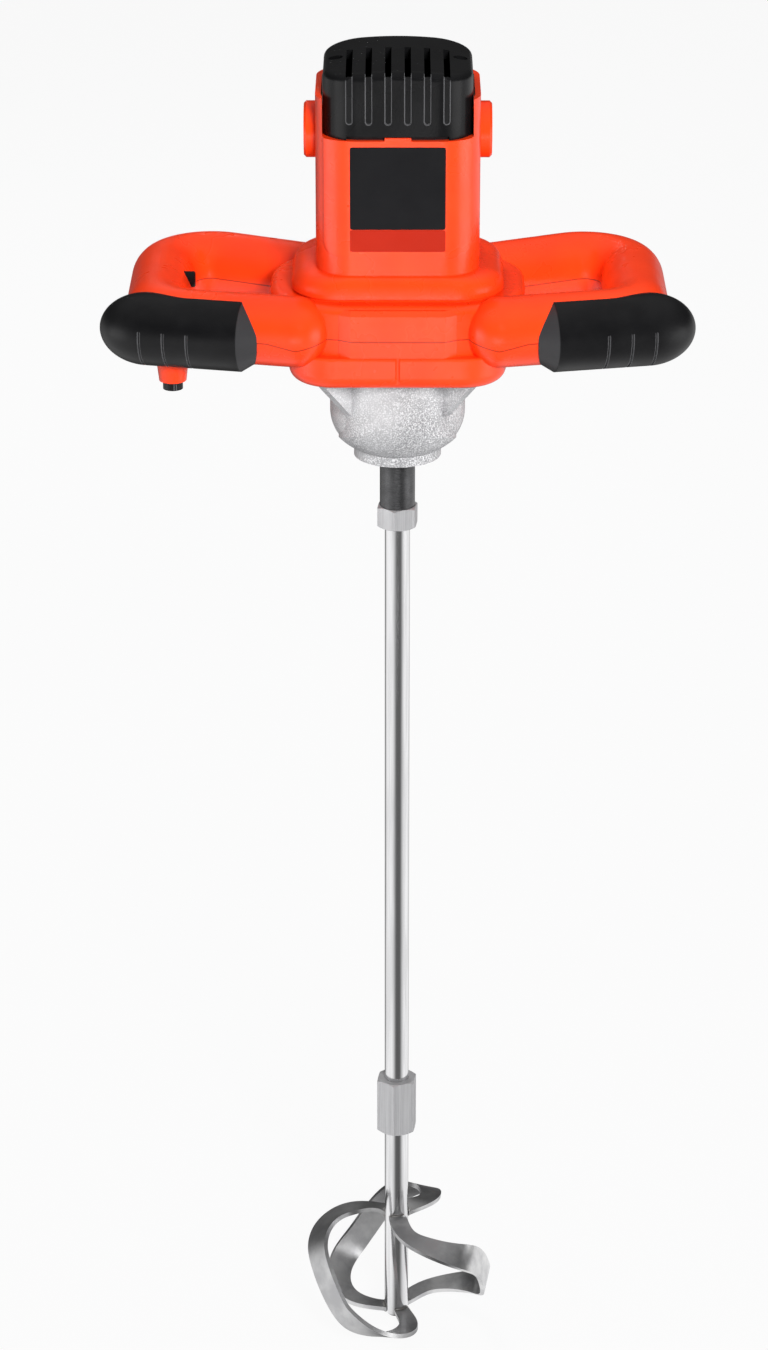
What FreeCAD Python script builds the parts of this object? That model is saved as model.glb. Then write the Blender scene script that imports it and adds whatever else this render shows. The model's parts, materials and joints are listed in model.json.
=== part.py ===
import FreeCAD, Part
import Sketcher
import math
import os

# A two-handled mixing drill. An upright motor stands on a hub between two D-loop handles, and drives
# a long mixing rod through a two-stage reverted spur gearbox.
# Millimetres, +Z up. The origin is the centre of the gear case collar's lower face, on the spindle axis.
# The front is -Y, and the right hand's loop, with the trigger, is at -X.

Vector = FreeCAD.Vector
ORIGIN = Vector(0, 0, 0)
UP = Vector(0, 0, 1)
RIGHT = Vector(1, 0, 0)
BACK = Vector(0, 1, 0)

doc = FreeCAD.newDocument("mixing_drill")
sheet = doc.addObject("Spreadsheet::Sheet", "Sizes")

# Driving lengths
LENGTHS = {
    # clearances
    "fit_gap": 0.1,
    "run_gap": 0.3,
    "cut_overrun": 2,
    # gear case casting
    "collar_radius": 27.5,
    "collar_height": 6.5,
    "neck_radius": 27,
    "bowl_radius": 42.5,
    "bowl_shoulder": 31,
    "bowl_curve": 26,
    "barrel_radius": 37,
    "barrel_reach": 46.5,
    "barrel_foot_radius": 27,
    "barrel_shoulder": 34,
    "barrel_curve": 31,
    "case_wall": 4,
    "flange_half": 56,
    "flange_corner": 15,
    "flange_thickness": 6,
    "rib_thickness": 7,
    "rib_foot": 32,
    "rib_foot_reach": 40,
    "rib_tip_inset": 3,
    "bush_length": 8,
    # gearbox shafts, bearings and bushes
    "seal_recess": 0.5,
    "seal_width": 6,
    "seal_gap": 0.5,
    "seal_radius": 15.5,
    "gear_gap": 3,
    "gear_clearance": 1.2,
    "head_room": 4,
    "spindle_bearing_bore": 17,
    "spindle_bearing_outside": 35,
    "spindle_bearing_width": 12,
    "rotor_bearing_bore": 12,
    "rotor_bearing_outside": 32,
    "rotor_bearing_width": 10,
    "cap_bearing_bore": 10,
    "cap_bearing_outside": 30,
    "cap_bearing_width": 9,
    "cap_bearing_shoulder": 3.5,
    "bush_wall": 2.5,
    "spindle_bracket_thickness": 6,
    "cover_thickness": 6,
    "cover_drop": 3,
    "cover_rise": 4,
    "cover_lip": 2,
    "bearing_shoulder": 5,
    # gears
    "gear_module": 0.9,
    "tooth_backlash": 0.11,
    "output_gear_width": 16,
    "idler_width": 10,
    "rotor_pinion_overlap": 1,
    "gear_hub_radius": 13,
    "gear_web_recess": 4,
    "gear_rim": 4,
    # spindle and countershaft
    "spindle_radius": 11.2,
    "spindle_drop": 34.8,
    "spindle_gear_seat": 8,
    "spindle_journal": 6,
    "socket_radius": 7,
    "socket_depth": 24,
    "key_width": 4,
    "key_height": 4,
    "circlip_width": 1.5,
    "circlip_rim": 3,
    "circlip_groove": 0.8,
    "countershaft_journal": 5,
    "idler_seat": 6,
    "idler_shoulder": 7,
    # mixing rod
    "rod_radius": 8,
    "rod_thread_radius": 6.9,
    "nut_flats": 24,
    "nut_height": 14,
    "upper_rod_length": 399.2,
    "coupling_flats": 24.5,
    "coupling_length": 39,
    "coupling_gap": 3,
    "coupling_recess": 4,
    "lower_rod_length": 146,
    "rod_tip_chamfer": 2,
    "paddle_radius": 62,
    "paddle_height": 74,
    "paddle_lift": 5,
    "band_width": 19,
    "band_thickness": 3,
    # hub and handles
    "hub_height": 51.5,
    "hub_half_width": 79,
    "hub_half_depth": 61,
    "hub_corner": 50,
    "hub_edge": 5,
    "hub_rise": 16,
    "skirt_half_width": 67,
    "skirt_half_depth": 66.5,
    "skirt_corner": 28,
    "skirt_height": 20.5,
    "skirt_edge": 8,
    "skirt_ledge": 1.5,
    "skirt_groove": 1.4,
    "panel_half_width": 36,
    "panel_floor": 17,
    "panel_height": 33,
    "panel_proud": 4,
    "panel_bevel": 7,
    "panel_top_bevel": 3,
    "fan_chamber_inset": 2.3,
    "deck_thickness": 6,
    "deck_ledge": 6,
    "grip_rise": 33.5,
    "grip_x": 149,
    "grip_rear_y": 100,
    "arm_front_x": 62,
    "arm_front_y": 52,
    "arm_root_x": 30,
    "arm_root_y": 46,
    "arm_half_height": 22,
    "arm_half_depth": 20,
    "front_bend": 28,
    "rear_bend": 30,
    "shell_wall": 3,
    "parting_drop": 2.5,
    "parting_dip": 4,
    "parting_dip_x": 62,
    "parting_dip_run": 18,
    "bumper_forward": 6,
    "bumper_drop": 2.5,
    "bumper_inner_x": 82,
    "bumper_nose_x": 184.6,
    "bumper_radius": 22.5,
    "bumper_nose": 30,
    "bumper_rear_inner": 3,
    "bumper_rear_outer": 24,
    "bumper_groove": 1.3,
    "bumper_groove_depth": 0.8,
    "bumper_groove_x": 124.5,
    "bumper_groove_pitch": 15,
    "bumper_groove_rise": 5,
    "bumper_bevel": 12,
    "bumper_bevel_depth": 8,
    "post_radius": 5,
    "handle_screw_radius": 2,
    "handle_screw_head": 3.8,
    "handle_screw_head_height": 3,
    "handle_screw_recess": 8,
    "front_screw_x": 84,
    "rear_screw_x": 92,
    "handle_screw_length": 28,
    "case_screw_radius": 2.5,
    "case_screw_head": 4.5,
    "case_screw_head_height": 4,
    "case_screw_length": 24,
    "case_screw_x": 50,
    "case_screw_y": 28,
    "motor_screw_radius": 2.5,
    "motor_screw_head": 4.5,
    "motor_screw_head_height": 5,
    "motor_screw_length": 22,
    "motor_screw_out": 6.7,
    "motor_screw_y": 14,
    "motor_screw_bite": 7,
    # trigger, lock button and cord gland
    "trigger_width": 13,
    "trigger_gap": 0.7,
    "trigger_front_y": 5,
    "trigger_length": 50,
    "trigger_pin_radius": 2,
    "trigger_pin_rise": 8.5,
    "trigger_pin_length": 28,
    "trigger_eye": 5,
    "trigger_drop": 9,
    "trigger_lip": 5,
    "trigger_draft": 4,
    "trigger_lip_height": 3,
    "trigger_edge": 2,
    "trigger_curve": 75,
    "switch_width": 23,
    "switch_length": 32,
    "switch_height": 9.5,
    "switch_lift": 14.7,
    "switch_rib": 3,
    "switch_y": 14,
    "spring_radius": 3.6,
    "spring_wire": 0.8,
    "lock_radius": 5,
    "lock_rise": 9.5,
    "lock_y": 24,
    "lock_proud": 4,
    "lock_flange": 6.2,
    "lock_flange_width": 2,
    "lock_seat": 8.5,
    "lock_dome": 1.2,
    "lock_sleeve": 6.8,
    "boss_x": 139.5,
    "boss_y": 30,
    "boss_top_radius": 13,
    "boss_radius": 8.5,
    "boss_drop": 38.5,
    "gland_radius": 5.2,
    "gland_flange": 6.2,
    "gland_drop": 5.5,
    "gland_seat": 12,
    "gland_bore": 3.75,
    "wire_hole": 3,
    # motor housing
    "box_half_width": 50.3,
    "box_half_depth": 46,
    "box_corner": 24,
    "box_wall": 3.5,
    "flare_side": 15.2,
    "flare_front": 5,
    "flare_corner": 6,
    "flare_height": 11,
    "flare_land": 1,
    "rim_inset": 2.5,
    "rim_gap": 2,
    "rim_height": 2.5,
    "front_panel_inset": 5.3,
    "front_panel_floor": 27.5,
    "front_panel_corner": 9,
    "front_panel_proud": 1.2,
    "ear_rise": 23,
    "cap_seat_rise": 5,
    "tab_half_width": 8,
    "tab_height": 2,
    "brush_boss_radius": 17.3,
    "brush_boss_proud": 7.3,
    "brush_boss_edge": 1.5,
    "brush_sleeve_radius": 11,
    "brush_sleeve_reach": 8,
    "brush_tube_radius": 8.5,
    "brush_tube_wall": 1.2,
    "brush_tube_clear": 3,
    "brush_spring_radius": 4.5,
    "riser_height": 4,
    "riser_proud": 2.5,
    "brush_width": 7,
    "brush_height": 11,
    "brush_length": 18,
    "brush_cap_seat": 5,
    "brush_slot_width": 2.5,
    "brush_slot_depth": 2.5,
    "corner_post_radius": 7,
    "corner_post_reach": 14,
    "corner_post_height": 26,
    "cap_post_radius": 4.2,
    "cap_post_inset": 7.6,
    "cap_post_height": 23,
    # motor inside
    "stator_lift": 16.5,
    "stator_length": 46,
    "stator_gap": 0.3,
    "air_gap": 0.8,
    "coil_overhang": 1,
    "rotor_slot_width": 3,
    "winding_overhang": 9,
    "winding_bore": 9,
    "shaft_radius": 7,
    "shaft_shoulder": 7.8,
    "shaft_shoulder_height": 5,
    "shaft_upper_radius": 6.5,
    "commutator_gap": 18,
    "commutator_length": 30,
    "commutator_radius": 13.5,
    "commutator_groove": 0.6,
    "commutator_groove_depth": 1.5,
    "brush_air": 0.3,
    "fan_gap": 6,
    "fan_height": 18,
    "fan_side_gap": 8,
    "fan_hub_radius": 13,
    "fan_plate": 2.5,
    "fan_blade": 2,
    "fan_eye_radius": 22,
    "baffle_thickness": 3.5,
    "baffle_hole_radius": 27,
    # bearing bracket and vent cap
    "bracket_plate": 5,
    "bracket_boss_wall": 4.5,
    "bracket_lip": 2,
    "bracket_bearing_lift": 13,
    "bracket_screw_radius": 2,
    "bracket_screw_head": 3.5,
    "bracket_screw_head_height": 2.6,
    "bracket_screw_length": 14,
    "bracket_inset": 0.4,
    "bracket_rim": 1,
    "commutator_clear": 2,
    "cap_height": 42.4,
    "cap_crown": 4.5,
    "ear_thickness": 4.4,
    "cap_proud": 0.5,
    "cap_corner": 24,
    "cap_wall": 3,
    "cap_edge": 5,
    "cap_side_gap": 0.3,
    "flute_width": 3.8,
    "flute_depth": 1.8,
    "flute_drop": 32.4,
    "vent_lip": 3.4,
    "vent_rear": 32,
    "cap_notch_half": 31,
    "cap_notch_height": 2.5,
    "cap_screw_radius": 2,
    "cap_screw_head": 3.6,
    "cap_screw_head_height": 2.6,
    "cap_screw_length": 18,
    "cap_screw_recess": 9,
    "cap_recess_radius": 4.4,
}

# Counts, angles and shares
ROTOR_PINION_TEETH = 10
IDLER_TEETH = 50
COUNTERSHAFT_PINION_TEETH = 13
OUTPUT_TEETH = ROTOR_PINION_TEETH + IDLER_TEETH - COUNTERSHAFT_PINION_TEETH
FIRST_STAGE_SHIFT_SHARE = 0.42
SECOND_STAGE_SHIFT_SHARE = 0.25
ADDENDUM_SHARE = 0.9
DEDENDUM_SHARE = 1.25
PRESSURE_ANGLE = math.radians(20)
FLANK_SHARES = (0, 0.4, 1)
BAND_COUNT = 3
BAND_STATIONS = 13
BAND_START_ANGLE = math.radians(150)
HEXAGON_REST_ANGLE = math.radians(22)
BAND_SWEEP_ANGLE = math.radians(150)
BAND_END_ANGLE = math.radians(1.5)
BAND_SQUARENESS_SHARE = 0.62
BAND_ROOT_SHARE = 0.55
BALL_COUNT = 8
BALL_SHARE = 0.6
GROOVE_HEIGHT_SHARE = 0.7
GROOVE_OFFSET_SHARE = math.sqrt(1 - GROOVE_HEIGHT_SHARE ** 2)
ROTOR_SLOTS = 12
COMMUTATOR_BARS = 24
FAN_BLADES = 12
FLUTE_COUNT = 6
BRACKET_WINDOW_WIDTH_SHARE = 0.35
BRACKET_WINDOW_SHARES = (0.58, 0.88)
SPRING_TURNS = 5
BUMPER_GROOVES = 3
ARM_SWEEP_ANGLE = math.radians(12)
FLARE_SHARES = (1, math.sqrt(0.5), 0)
COIL_INNER_SHARE = 0.45
COIL_WIDTH_SHARE = 0.194
COIL_PLACE_SHARE = 0.616
COIL_DEPTH_SHARE = 0.19
ROTOR_SHARE = 0.52
ROTOR_SLOT_SHARE = 0.41
WINDING_SHARE = 0.91
FLUTE_PITCH_SHARE = 0.259
WINDING_ROUND_SHARE = 1 / 3
EDGE_SHARE = 0.15
HALF_TURN = math.pi
FULL_TURN = 2 * math.pi


class Size(float):
    """A length that remembers the sheet expression it comes from."""

    def __new__(cls, value, text):
        made = super().__new__(cls, value)
        made.text = text
        return made

    def __add__(self, other):
        return joined(self, "+", other, float(self) + float(other))

    def __radd__(self, other):
        return joined(other, "+", self, float(other) + float(self))

    def __sub__(self, other):
        return joined(self, "-", other, float(self) - float(other))

    def __rsub__(self, other):
        return joined(other, "-", self, float(other) - float(self))

    def __mul__(self, other):
        return joined(self, "*", other, float(self) * float(other))

    def __rmul__(self, other):
        return joined(other, "*", self, float(other) * float(self))

    def __truediv__(self, other):
        return joined(self, "/", other, float(self) / float(other))

    def __neg__(self):
        return Size(-float(self), f"(-1 * {self.text})")


def written(value):
    """The expression text of a size, or a plain number as text."""
    return value.text if isinstance(value, Size) else repr(float(value))


def joined(left, sign, right, value):
    """A size worked out from two others."""
    return Size(value, f"({written(left)} {sign} {written(right)})")


def root(size):
    """The square root of a squared size."""
    return Size(math.sqrt(size), f"sqrt({size.text})")


class Lengths:
    """Every driving length by its name in the sheet."""

    def __init__(self, table):
        for row, (name, value) in enumerate(table.items(), start=1):
            sheet.set(f"A{row}", name)
            sheet.set(f"B{row}", str(value))
            sheet.setAlias(f"B{row}", name)
        doc.recompute()
        for name in table:
            setattr(self, name, Size(sheet.get(name), f"Sizes.{name}"))


S = Lengths(LENGTHS)
nodes = []

# Heights, stacked up from the collar's lower face
seal_floor = S.seal_recess
bearing_floor = seal_floor + S.seal_width + S.seal_gap
bearing_top = bearing_floor + S.spindle_bearing_width
output_floor = bearing_top + S.gear_gap
output_top = output_floor + S.output_gear_width
bracket_floor = output_top + S.gear_gap
bracket_top = bracket_floor + S.spindle_bracket_thickness
idler_floor = bracket_top + S.gear_gap
idler_top = idler_floor + S.idler_width
skirt_floor = idler_top + S.head_room
case_top = skirt_floor + S.flange_thickness
cover_top = case_top + S.cover_thickness
cover_boss_top = cover_top + S.cover_rise
rotor_bearing_floor = case_top - S.cover_drop + S.cover_lip
rotor_bearing_top = rotor_bearing_floor + S.rotor_bearing_width
fan_floor = cover_boss_top + S.fan_gap
fan_top = fan_floor + S.fan_height
grip_level = skirt_floor + S.grip_rise
hub_top = skirt_floor + S.hub_height
deck_floor = hub_top - S.deck_thickness
stator_floor = hub_top + S.stator_lift
stator_top = stator_floor + S.stator_length
commutator_floor = stator_top + S.commutator_gap
commutator_top = commutator_floor + S.commutator_length
brush_level = commutator_floor + S.commutator_length / 2
cap_seat = brush_level + S.cap_seat_rise
ear_top = cap_seat + S.ear_rise
cap_top = cap_seat + S.cap_height
cap_bearing_floor = cap_seat + S.bracket_bearing_lift
cap_bearing_top = cap_bearing_floor + S.cap_bearing_width

# Levels down the mixing rod
spindle_end = -S.spindle_drop
nut_floor = spindle_end - S.nut_height
coupling_top = nut_floor - S.upper_rod_length
coupling_floor = coupling_top - S.coupling_length
rod_tip = coupling_floor - S.lower_rod_length
paddle_floor = rod_tip + S.paddle_lift
paddle_level = paddle_floor + S.paddle_height / 2

# Gear sizes
centre_distance = S.gear_module * (ROTOR_PINION_TEETH + IDLER_TEETH) / 2


def tip_radius(teeth, shift_share):
    """Outside radius of a gear."""
    return S.gear_module * (teeth / 2 + ADDENDUM_SHARE + shift_share)


def root_radius(teeth, shift_share):
    """Radius at the bottom of the tooth gaps."""
    return S.gear_module * (teeth / 2 - DEDENDUM_SHARE + shift_share)


rotor_pinion_root = root_radius(ROTOR_PINION_TEETH, FIRST_STAGE_SHIFT_SHARE)
idler_tip = tip_radius(IDLER_TEETH, -FIRST_STAGE_SHIFT_SHARE)
counter_pinion_tip = tip_radius(COUNTERSHAFT_PINION_TEETH, SECOND_STAGE_SHIFT_SHARE)
counter_pinion_root = root_radius(COUNTERSHAFT_PINION_TEETH, SECOND_STAGE_SHIFT_SHARE)
output_tip = tip_radius(OUTPUT_TEETH, -SECOND_STAGE_SHIFT_SHARE)
lower_chamber = output_tip + S.gear_clearance
pinion_chamber = counter_pinion_tip + S.gear_clearance
upper_chamber = idler_tip + S.gear_clearance
counter_bush_radius = S.countershaft_journal + S.run_gap / 2 + S.bush_wall
spindle_bush_radius = S.spindle_journal + S.run_gap / 2 + S.bush_wall
main_chamber = S.bowl_radius - S.case_wall
counter_bush_floor = output_floor - S.bush_length
rotor_pinion_floor = idler_floor - S.rotor_pinion_overlap
rotor_pinion_top = idler_top + S.rotor_pinion_overlap
cover_boss_floor = case_top - S.cover_drop


# Document helpers

def bind(feature, prop, size):
    """Tie a property to the sheet."""
    feature.setExpression(prop, written(size))


def new_body(label):
    """An empty body that is exported under its label."""
    body = doc.addObject("PartDesign::Body", label)
    body.Label = label
    nodes.append(body)
    return body


def shaped(label, shape, y=0, z=0):
    """A piece whose shape is worked out here from the sheet's sizes, at a place bound to them."""
    feature = doc.addObject("Part::Feature", label)
    feature.Label = label
    feature.Shape = shape
    feature.Placement = FreeCAD.Placement()
    for axis, size in (("y", y), ("z", z)):
        if size:
            bind(feature, f"Placement.Base.{axis}", size)
    nodes.append(feature)
    return feature


def origin_part(body, role):
    """A plane or an axis of the body's own origin."""
    return next(part for part in body.Origin.OriginFeatures if part.Role == role)


def sketch_on(body, role, shift=(0, 0, 0)):
    """A sketch on an origin plane, moved by shift in the plane's own axes."""
    sketch = body.newObject("Sketcher::SketchObject", "Sketch")
    sketch.AttachmentSupport = (origin_part(body, role), [""])
    sketch.MapMode = "FlatFace"
    for axis, size in zip("xyz", shift):
        if size:
            bind(sketch, f"AttachmentOffset.Base.{axis}", size)
    return sketch


def flat(body, level):
    """A level sketch at a height."""
    return sketch_on(body, "XY_Plane", (0, 0, level))


def pin_point(sketch, edge, end, x, y):
    """Hold one end of an edge at sketch coordinates."""
    for kind, axis, value in (("DistanceX", -2, x), ("DistanceY", -1, y)):
        if value:
            place = sketch.addConstraint(Sketcher.Constraint(kind, -1, 1, edge, end, float(value)))
            bind(sketch, f"Constraints[{place}]", value)
        else:
            sketch.addConstraint(Sketcher.Constraint("PointOnObject", edge, end, axis))


def bow(start, stop, radius):
    """The short arc between two points; a positive radius turns left, a negative one right."""
    half = (stop - start) / 2
    rise = math.sqrt(max(radius * radius - half.Length ** 2, 0))
    left = Vector(-half.y, half.x, 0).normalize()
    centre = start + half + left * math.copysign(rise, radius)
    first, last = (start, stop) if radius > 0 else (stop, start)
    begin = math.atan2(first.y - centre.y, first.x - centre.x)
    end = math.atan2(last.y - centre.y, last.x - centre.x)
    if end < begin:
        end += FULL_TURN
    return Part.ArcOfCircle(Part.Circle(centre, UP, abs(radius)), begin, end)


def trace(sketch, points, arcs=None):
    """A closed outline; arcs gives the radius of each round edge by the number of its first point."""
    arcs = arcs or {}
    edges = []
    for number, start in enumerate(points):
        first = Vector(*start, 0)
        last = Vector(*points[(number + 1) % len(points)], 0)
        radius = arcs.get(number)
        line = bow(first, last, float(radius)) if radius else Part.LineSegment(first, last)
        edges.append((sketch.addGeometry(line, False), bool(radius) and radius < 0))
    for number, (edge, turned) in enumerate(edges):
        follower, follower_turned = edges[(number + 1) % len(edges)]
        ends = (1 if turned else 2, 2 if follower_turned else 1)
        sketch.addConstraint(Sketcher.Constraint("Coincident", edge, ends[0], follower, ends[1]))
    for number, (edge, turned) in enumerate(edges):
        pin_point(sketch, edge, 2 if turned else 1, *points[number])
        radius = arcs.get(number)
        if radius:
            size = radius if radius > 0 else -radius
            place = sketch.addConstraint(Sketcher.Constraint("Radius", edge, float(size)))
            bind(sketch, f"Constraints[{place}]", size)
    return sketch


def ring(sketch, x, y, radius):
    """A full circle."""
    edge = sketch.addGeometry(Part.Circle(Vector(x, y, 0), UP, float(radius)), False)
    pin_point(sketch, edge, 3, x, y)
    place = sketch.addConstraint(Sketcher.Constraint("Radius", edge, float(radius)))
    bind(sketch, f"Constraints[{place}]", radius)
    return sketch


def oblong(sketch, low, high):
    """A plain rectangle between two corners."""
    return trace(sketch, [low, (high[0], low[1]), high, (low[0], high[1])])


def rounded(sketch, half_x, half_y, corner):
    """A rectangle with round corners about the sketch's middle."""
    x, y = half_x - corner, half_y - corner
    points = [(-x, -half_y), (x, -half_y), (half_x, -y), (half_x, y),
              (x, half_y), (-x, half_y), (-half_x, y), (-half_x, -y)]
    return trace(sketch, points, {edge: corner for edge in (1, 3, 5, 7)})


def hexagon(sketch, flats):
    """A regular hexagon, given across its flats."""
    corner = flats / math.sqrt(3)
    turns = [HEXAGON_REST_ANGLE + FULL_TURN * number / 6 for number in range(6)]
    return trace(sketch, [(corner * math.cos(turn), corner * math.sin(turn)) for turn in turns])


def pad(body, sketch, length, backwards=False):
    """Raise a sketch along its normal."""
    feature = body.newObject("PartDesign::Pad", "Pad")
    feature.Profile = sketch
    feature.Reversed = backwards
    bind(feature, "Length", length)
    return feature


def pocket(body, sketch, length, forwards=False):
    """Cut a sketch against its normal, or along it."""
    feature = body.newObject("PartDesign::Pocket", "Pocket")
    feature.Profile = sketch
    feature.Reversed = forwards
    bind(feature, "Length", length)
    return feature


def turned(body, sketch, cut=False, axis="V_Axis"):
    """Turn a sketch round its upright axis, as metal or as a cut."""
    kind = "PartDesign::Groove" if cut else "PartDesign::Revolution"
    feature = body.newObject(kind, "Turned")
    feature.Profile = sketch
    feature.ReferenceAxis = (sketch, [axis])
    feature.Angle = 360
    return feature


def around(body, features, count):
    """Repeat features round the spindle axis."""
    pattern = body.newObject("PartDesign::PolarPattern", "Around")
    pattern.Originals = features
    pattern.Axis = (origin_part(body, "Z_Axis"), [""])
    pattern.Angle = 360
    pattern.Occurrences = count
    body.Tip = pattern
    return pattern


def soften(body, radius, chosen, chamfer=False):
    """Round or bevel the edges of the tip that the test picks."""
    doc.recompute()
    base = body.Tip
    names = [f"Edge{number}" for number, edge in enumerate(base.Shape.Edges, start=1) if chosen(edge)]
    feature = body.newObject("PartDesign::Chamfer" if chamfer else "PartDesign::Fillet", "Edges")
    feature.Base = (base, names)
    bind(feature, "Size" if chamfer else "Radius", radius)
    return feature


def at_level(height):
    """A test for level edges at a height."""
    near = float(S.fit_gap) / 2
    return lambda edge: abs(edge.BoundBox.ZMin - height) < near and abs(edge.BoundBox.ZMax - height) < near


def lathe(label, points, arcs=None):
    """A turned piece from its half outline, given as radius and height."""
    body = new_body(label)
    turned(body, trace(sketch_on(body, "XZ_Plane"), points, arcs))
    return body


def tube(label, inner, outer, floor, top):
    """A plain ring or bush."""
    return lathe(label, [(inner, floor), (outer, floor), (outer, top), (inner, top)])


# Shape helpers for the pieces that no feature fits

def placed(shape, x=0, y=0, z=0):
    """A copy of a shape at a place."""
    copy = shape.copy()
    copy.translate(Vector(x, y, z))
    return copy


def upright(radius, floor, top, x=0, y=0):
    """An upright cylinder between two heights."""
    return Part.makeCylinder(radius, top - floor, Vector(x, y, floor), UP)


def block(low, high):
    """A box between two corners."""
    return Part.makeBox(high[0] - low[0], high[1] - low[1], high[2] - low[2], Vector(*low))


def spun(points, axis=UP, base=ORIGIN):
    """Turn a closed outline of corner points round an axis."""
    face = Part.Face(Part.makePolygon([*points, points[0]]))
    return face.revolve(base, axis, 360)


def mirrored(shape):
    """The same shape on the other side of the middle plane."""
    return shape.mirror(ORIGIN, RIGHT)


def prism(half_x, half_y, corner, floor, top):
    """An upright block with round corners."""
    box = block((-half_x, -half_y, floor), (half_x, half_y, top))
    corners = [edge for edge in box.Edges if edge.BoundBox.ZLength > (top - floor) / 2]
    return box.makeFillet(corner, corners)


def level_edges(shape, height):
    """The edges of a shape that lie level at a height."""
    return [edge for edge in shape.Edges if at_level(height)(edge)]


def screw(head, head_height, shank, length):
    """A pan head screw with its head's seat at zero, its shank up and a square drive recess."""
    edge = head * EDGE_SHARE
    outline = [(0, -head_height), (head - edge, -head_height), (head, -head_height + edge), (head, 0),
               (shank, 0), (shank, length - shank), (shank / 2, length), (0, length)]
    blank = spun([Vector(radius, 0, height) for radius, height in outline])
    drive = shank / 2
    recess = block((-drive, -drive, -head_height), (drive, drive, -head_height / 2))
    return blank.cut(recess)


def flipped(shape):
    """A shape turned upside down."""
    copy = shape.copy()
    copy.rotate(ORIGIN, RIGHT, 180)
    return copy


def coil(radius, wire, length):
    """A compression spring that stands on zero, wound as tilted half turns."""
    step = (length - wire) / (SPRING_TURNS * 2)
    bulge = math.hypot(radius, step / 2)
    arcs = []
    for number in range(SPRING_TURNS * 2):
        side = -1 if number % 2 else 1
        low = wire / 2 + step * number
        arcs.append(Part.Arc(Vector(radius * side, 0, low), Vector(0, bulge * side, low + step / 2),
                             Vector(-radius * side, 0, low + step)).toShape())
    section = Part.Wire(Part.makeCircle(wire / 2, Vector(radius, 0, wire / 2), BACK))
    return Part.Wire(arcs).makePipeShell([section], True, False)


# Gears

def involute(angle):
    """The involute function."""
    return math.tan(angle) - angle


def polar(radius, angle):
    """A point of the level plane."""
    return Vector(radius * math.cos(angle), radius * math.sin(angle), 0)


def gear_blank(teeth, shift_share, width, turn):
    """A spur gear from zero up, with a tooth at the angle turn."""
    pitch = S.gear_module * teeth / 2
    base = pitch * math.cos(PRESSURE_ANGLE)
    tip = tip_radius(teeth, shift_share)
    root = root_radius(teeth, shift_share)
    start = max(base, root)
    half_tooth = HALF_TURN / (2 * teeth) + 2 * shift_share * math.tan(PRESSURE_ANGLE) / teeth
    half_tooth += involute(PRESSURE_ANGLE) - S.tooth_backlash / (2 * pitch)

    def spread(radius):
        return half_tooth - involute(math.acos(min(base / radius, 1)))

    edges = []
    radii = [start + (tip - start) * share for share in FLANK_SHARES]
    for number in range(teeth):
        middle = turn + FULL_TURN * number / teeth
        rising = [polar(radius, middle - spread(radius)) for radius in radii]
        falling = [polar(radius, middle + spread(radius)) for radius in reversed(radii)]
        following = middle + FULL_TURN / teeth
        foot = polar(root, middle - spread(start))
        heel = polar(root, middle + spread(start))
        next_foot = polar(root, following - spread(start))
        if start > root:
            edges.append(Part.makeLine(foot, rising[0]))
        edges.append(smooth(rising))
        edges.append(Part.Arc(rising[-1], polar(tip, middle), falling[0]).toShape())
        edges.append(smooth(falling))
        if start > root:
            edges.append(Part.makeLine(falling[-1], heel))
        edges.append(Part.Arc(heel, polar(root, middle + HALF_TURN / teeth), next_foot).toShape())
    return Part.Face(Part.Wire(edges)).extrude(UP * float(width))


def smooth(points):
    """A smooth curve through points."""
    curve = Part.BSplineCurve()
    curve.interpolate(points)
    return curve.toShape()


def gear_wheel(teeth, shift_share, width, turn, bore):
    """A gear wheel with a bored hub and a web recessed on both faces."""
    wheel = gear_blank(teeth, shift_share, width, turn)
    rim = root_radius(teeth, shift_share) - S.gear_rim
    trough = upright(rim, -S.cut_overrun, S.gear_web_recess).cut(
        upright(S.gear_hub_radius, -S.cut_overrun, S.gear_web_recess))
    wheel = wheel.cut(trough).cut(placed(trough, z=width - S.gear_web_recess + S.cut_overrun))
    return wheel.cut(upright(bore, -S.cut_overrun, width + S.cut_overrun))


# Gearbox

def screw_places():
    """The four case screws' places on the flange."""
    return [(x, y) for x in (-S.case_screw_x, S.case_screw_x) for y in (-S.case_screw_y, S.case_screw_y)]


def case_screw_holes(body, floor, depth):
    """The four screw holes through a flange, upwards from floor."""
    sketch = flat(body, floor)
    for x, y in screw_places():
        ring(sketch, x, y, S.case_screw_radius + S.fit_gap)
    pocket(body, sketch, depth, forwards=True)


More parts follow.
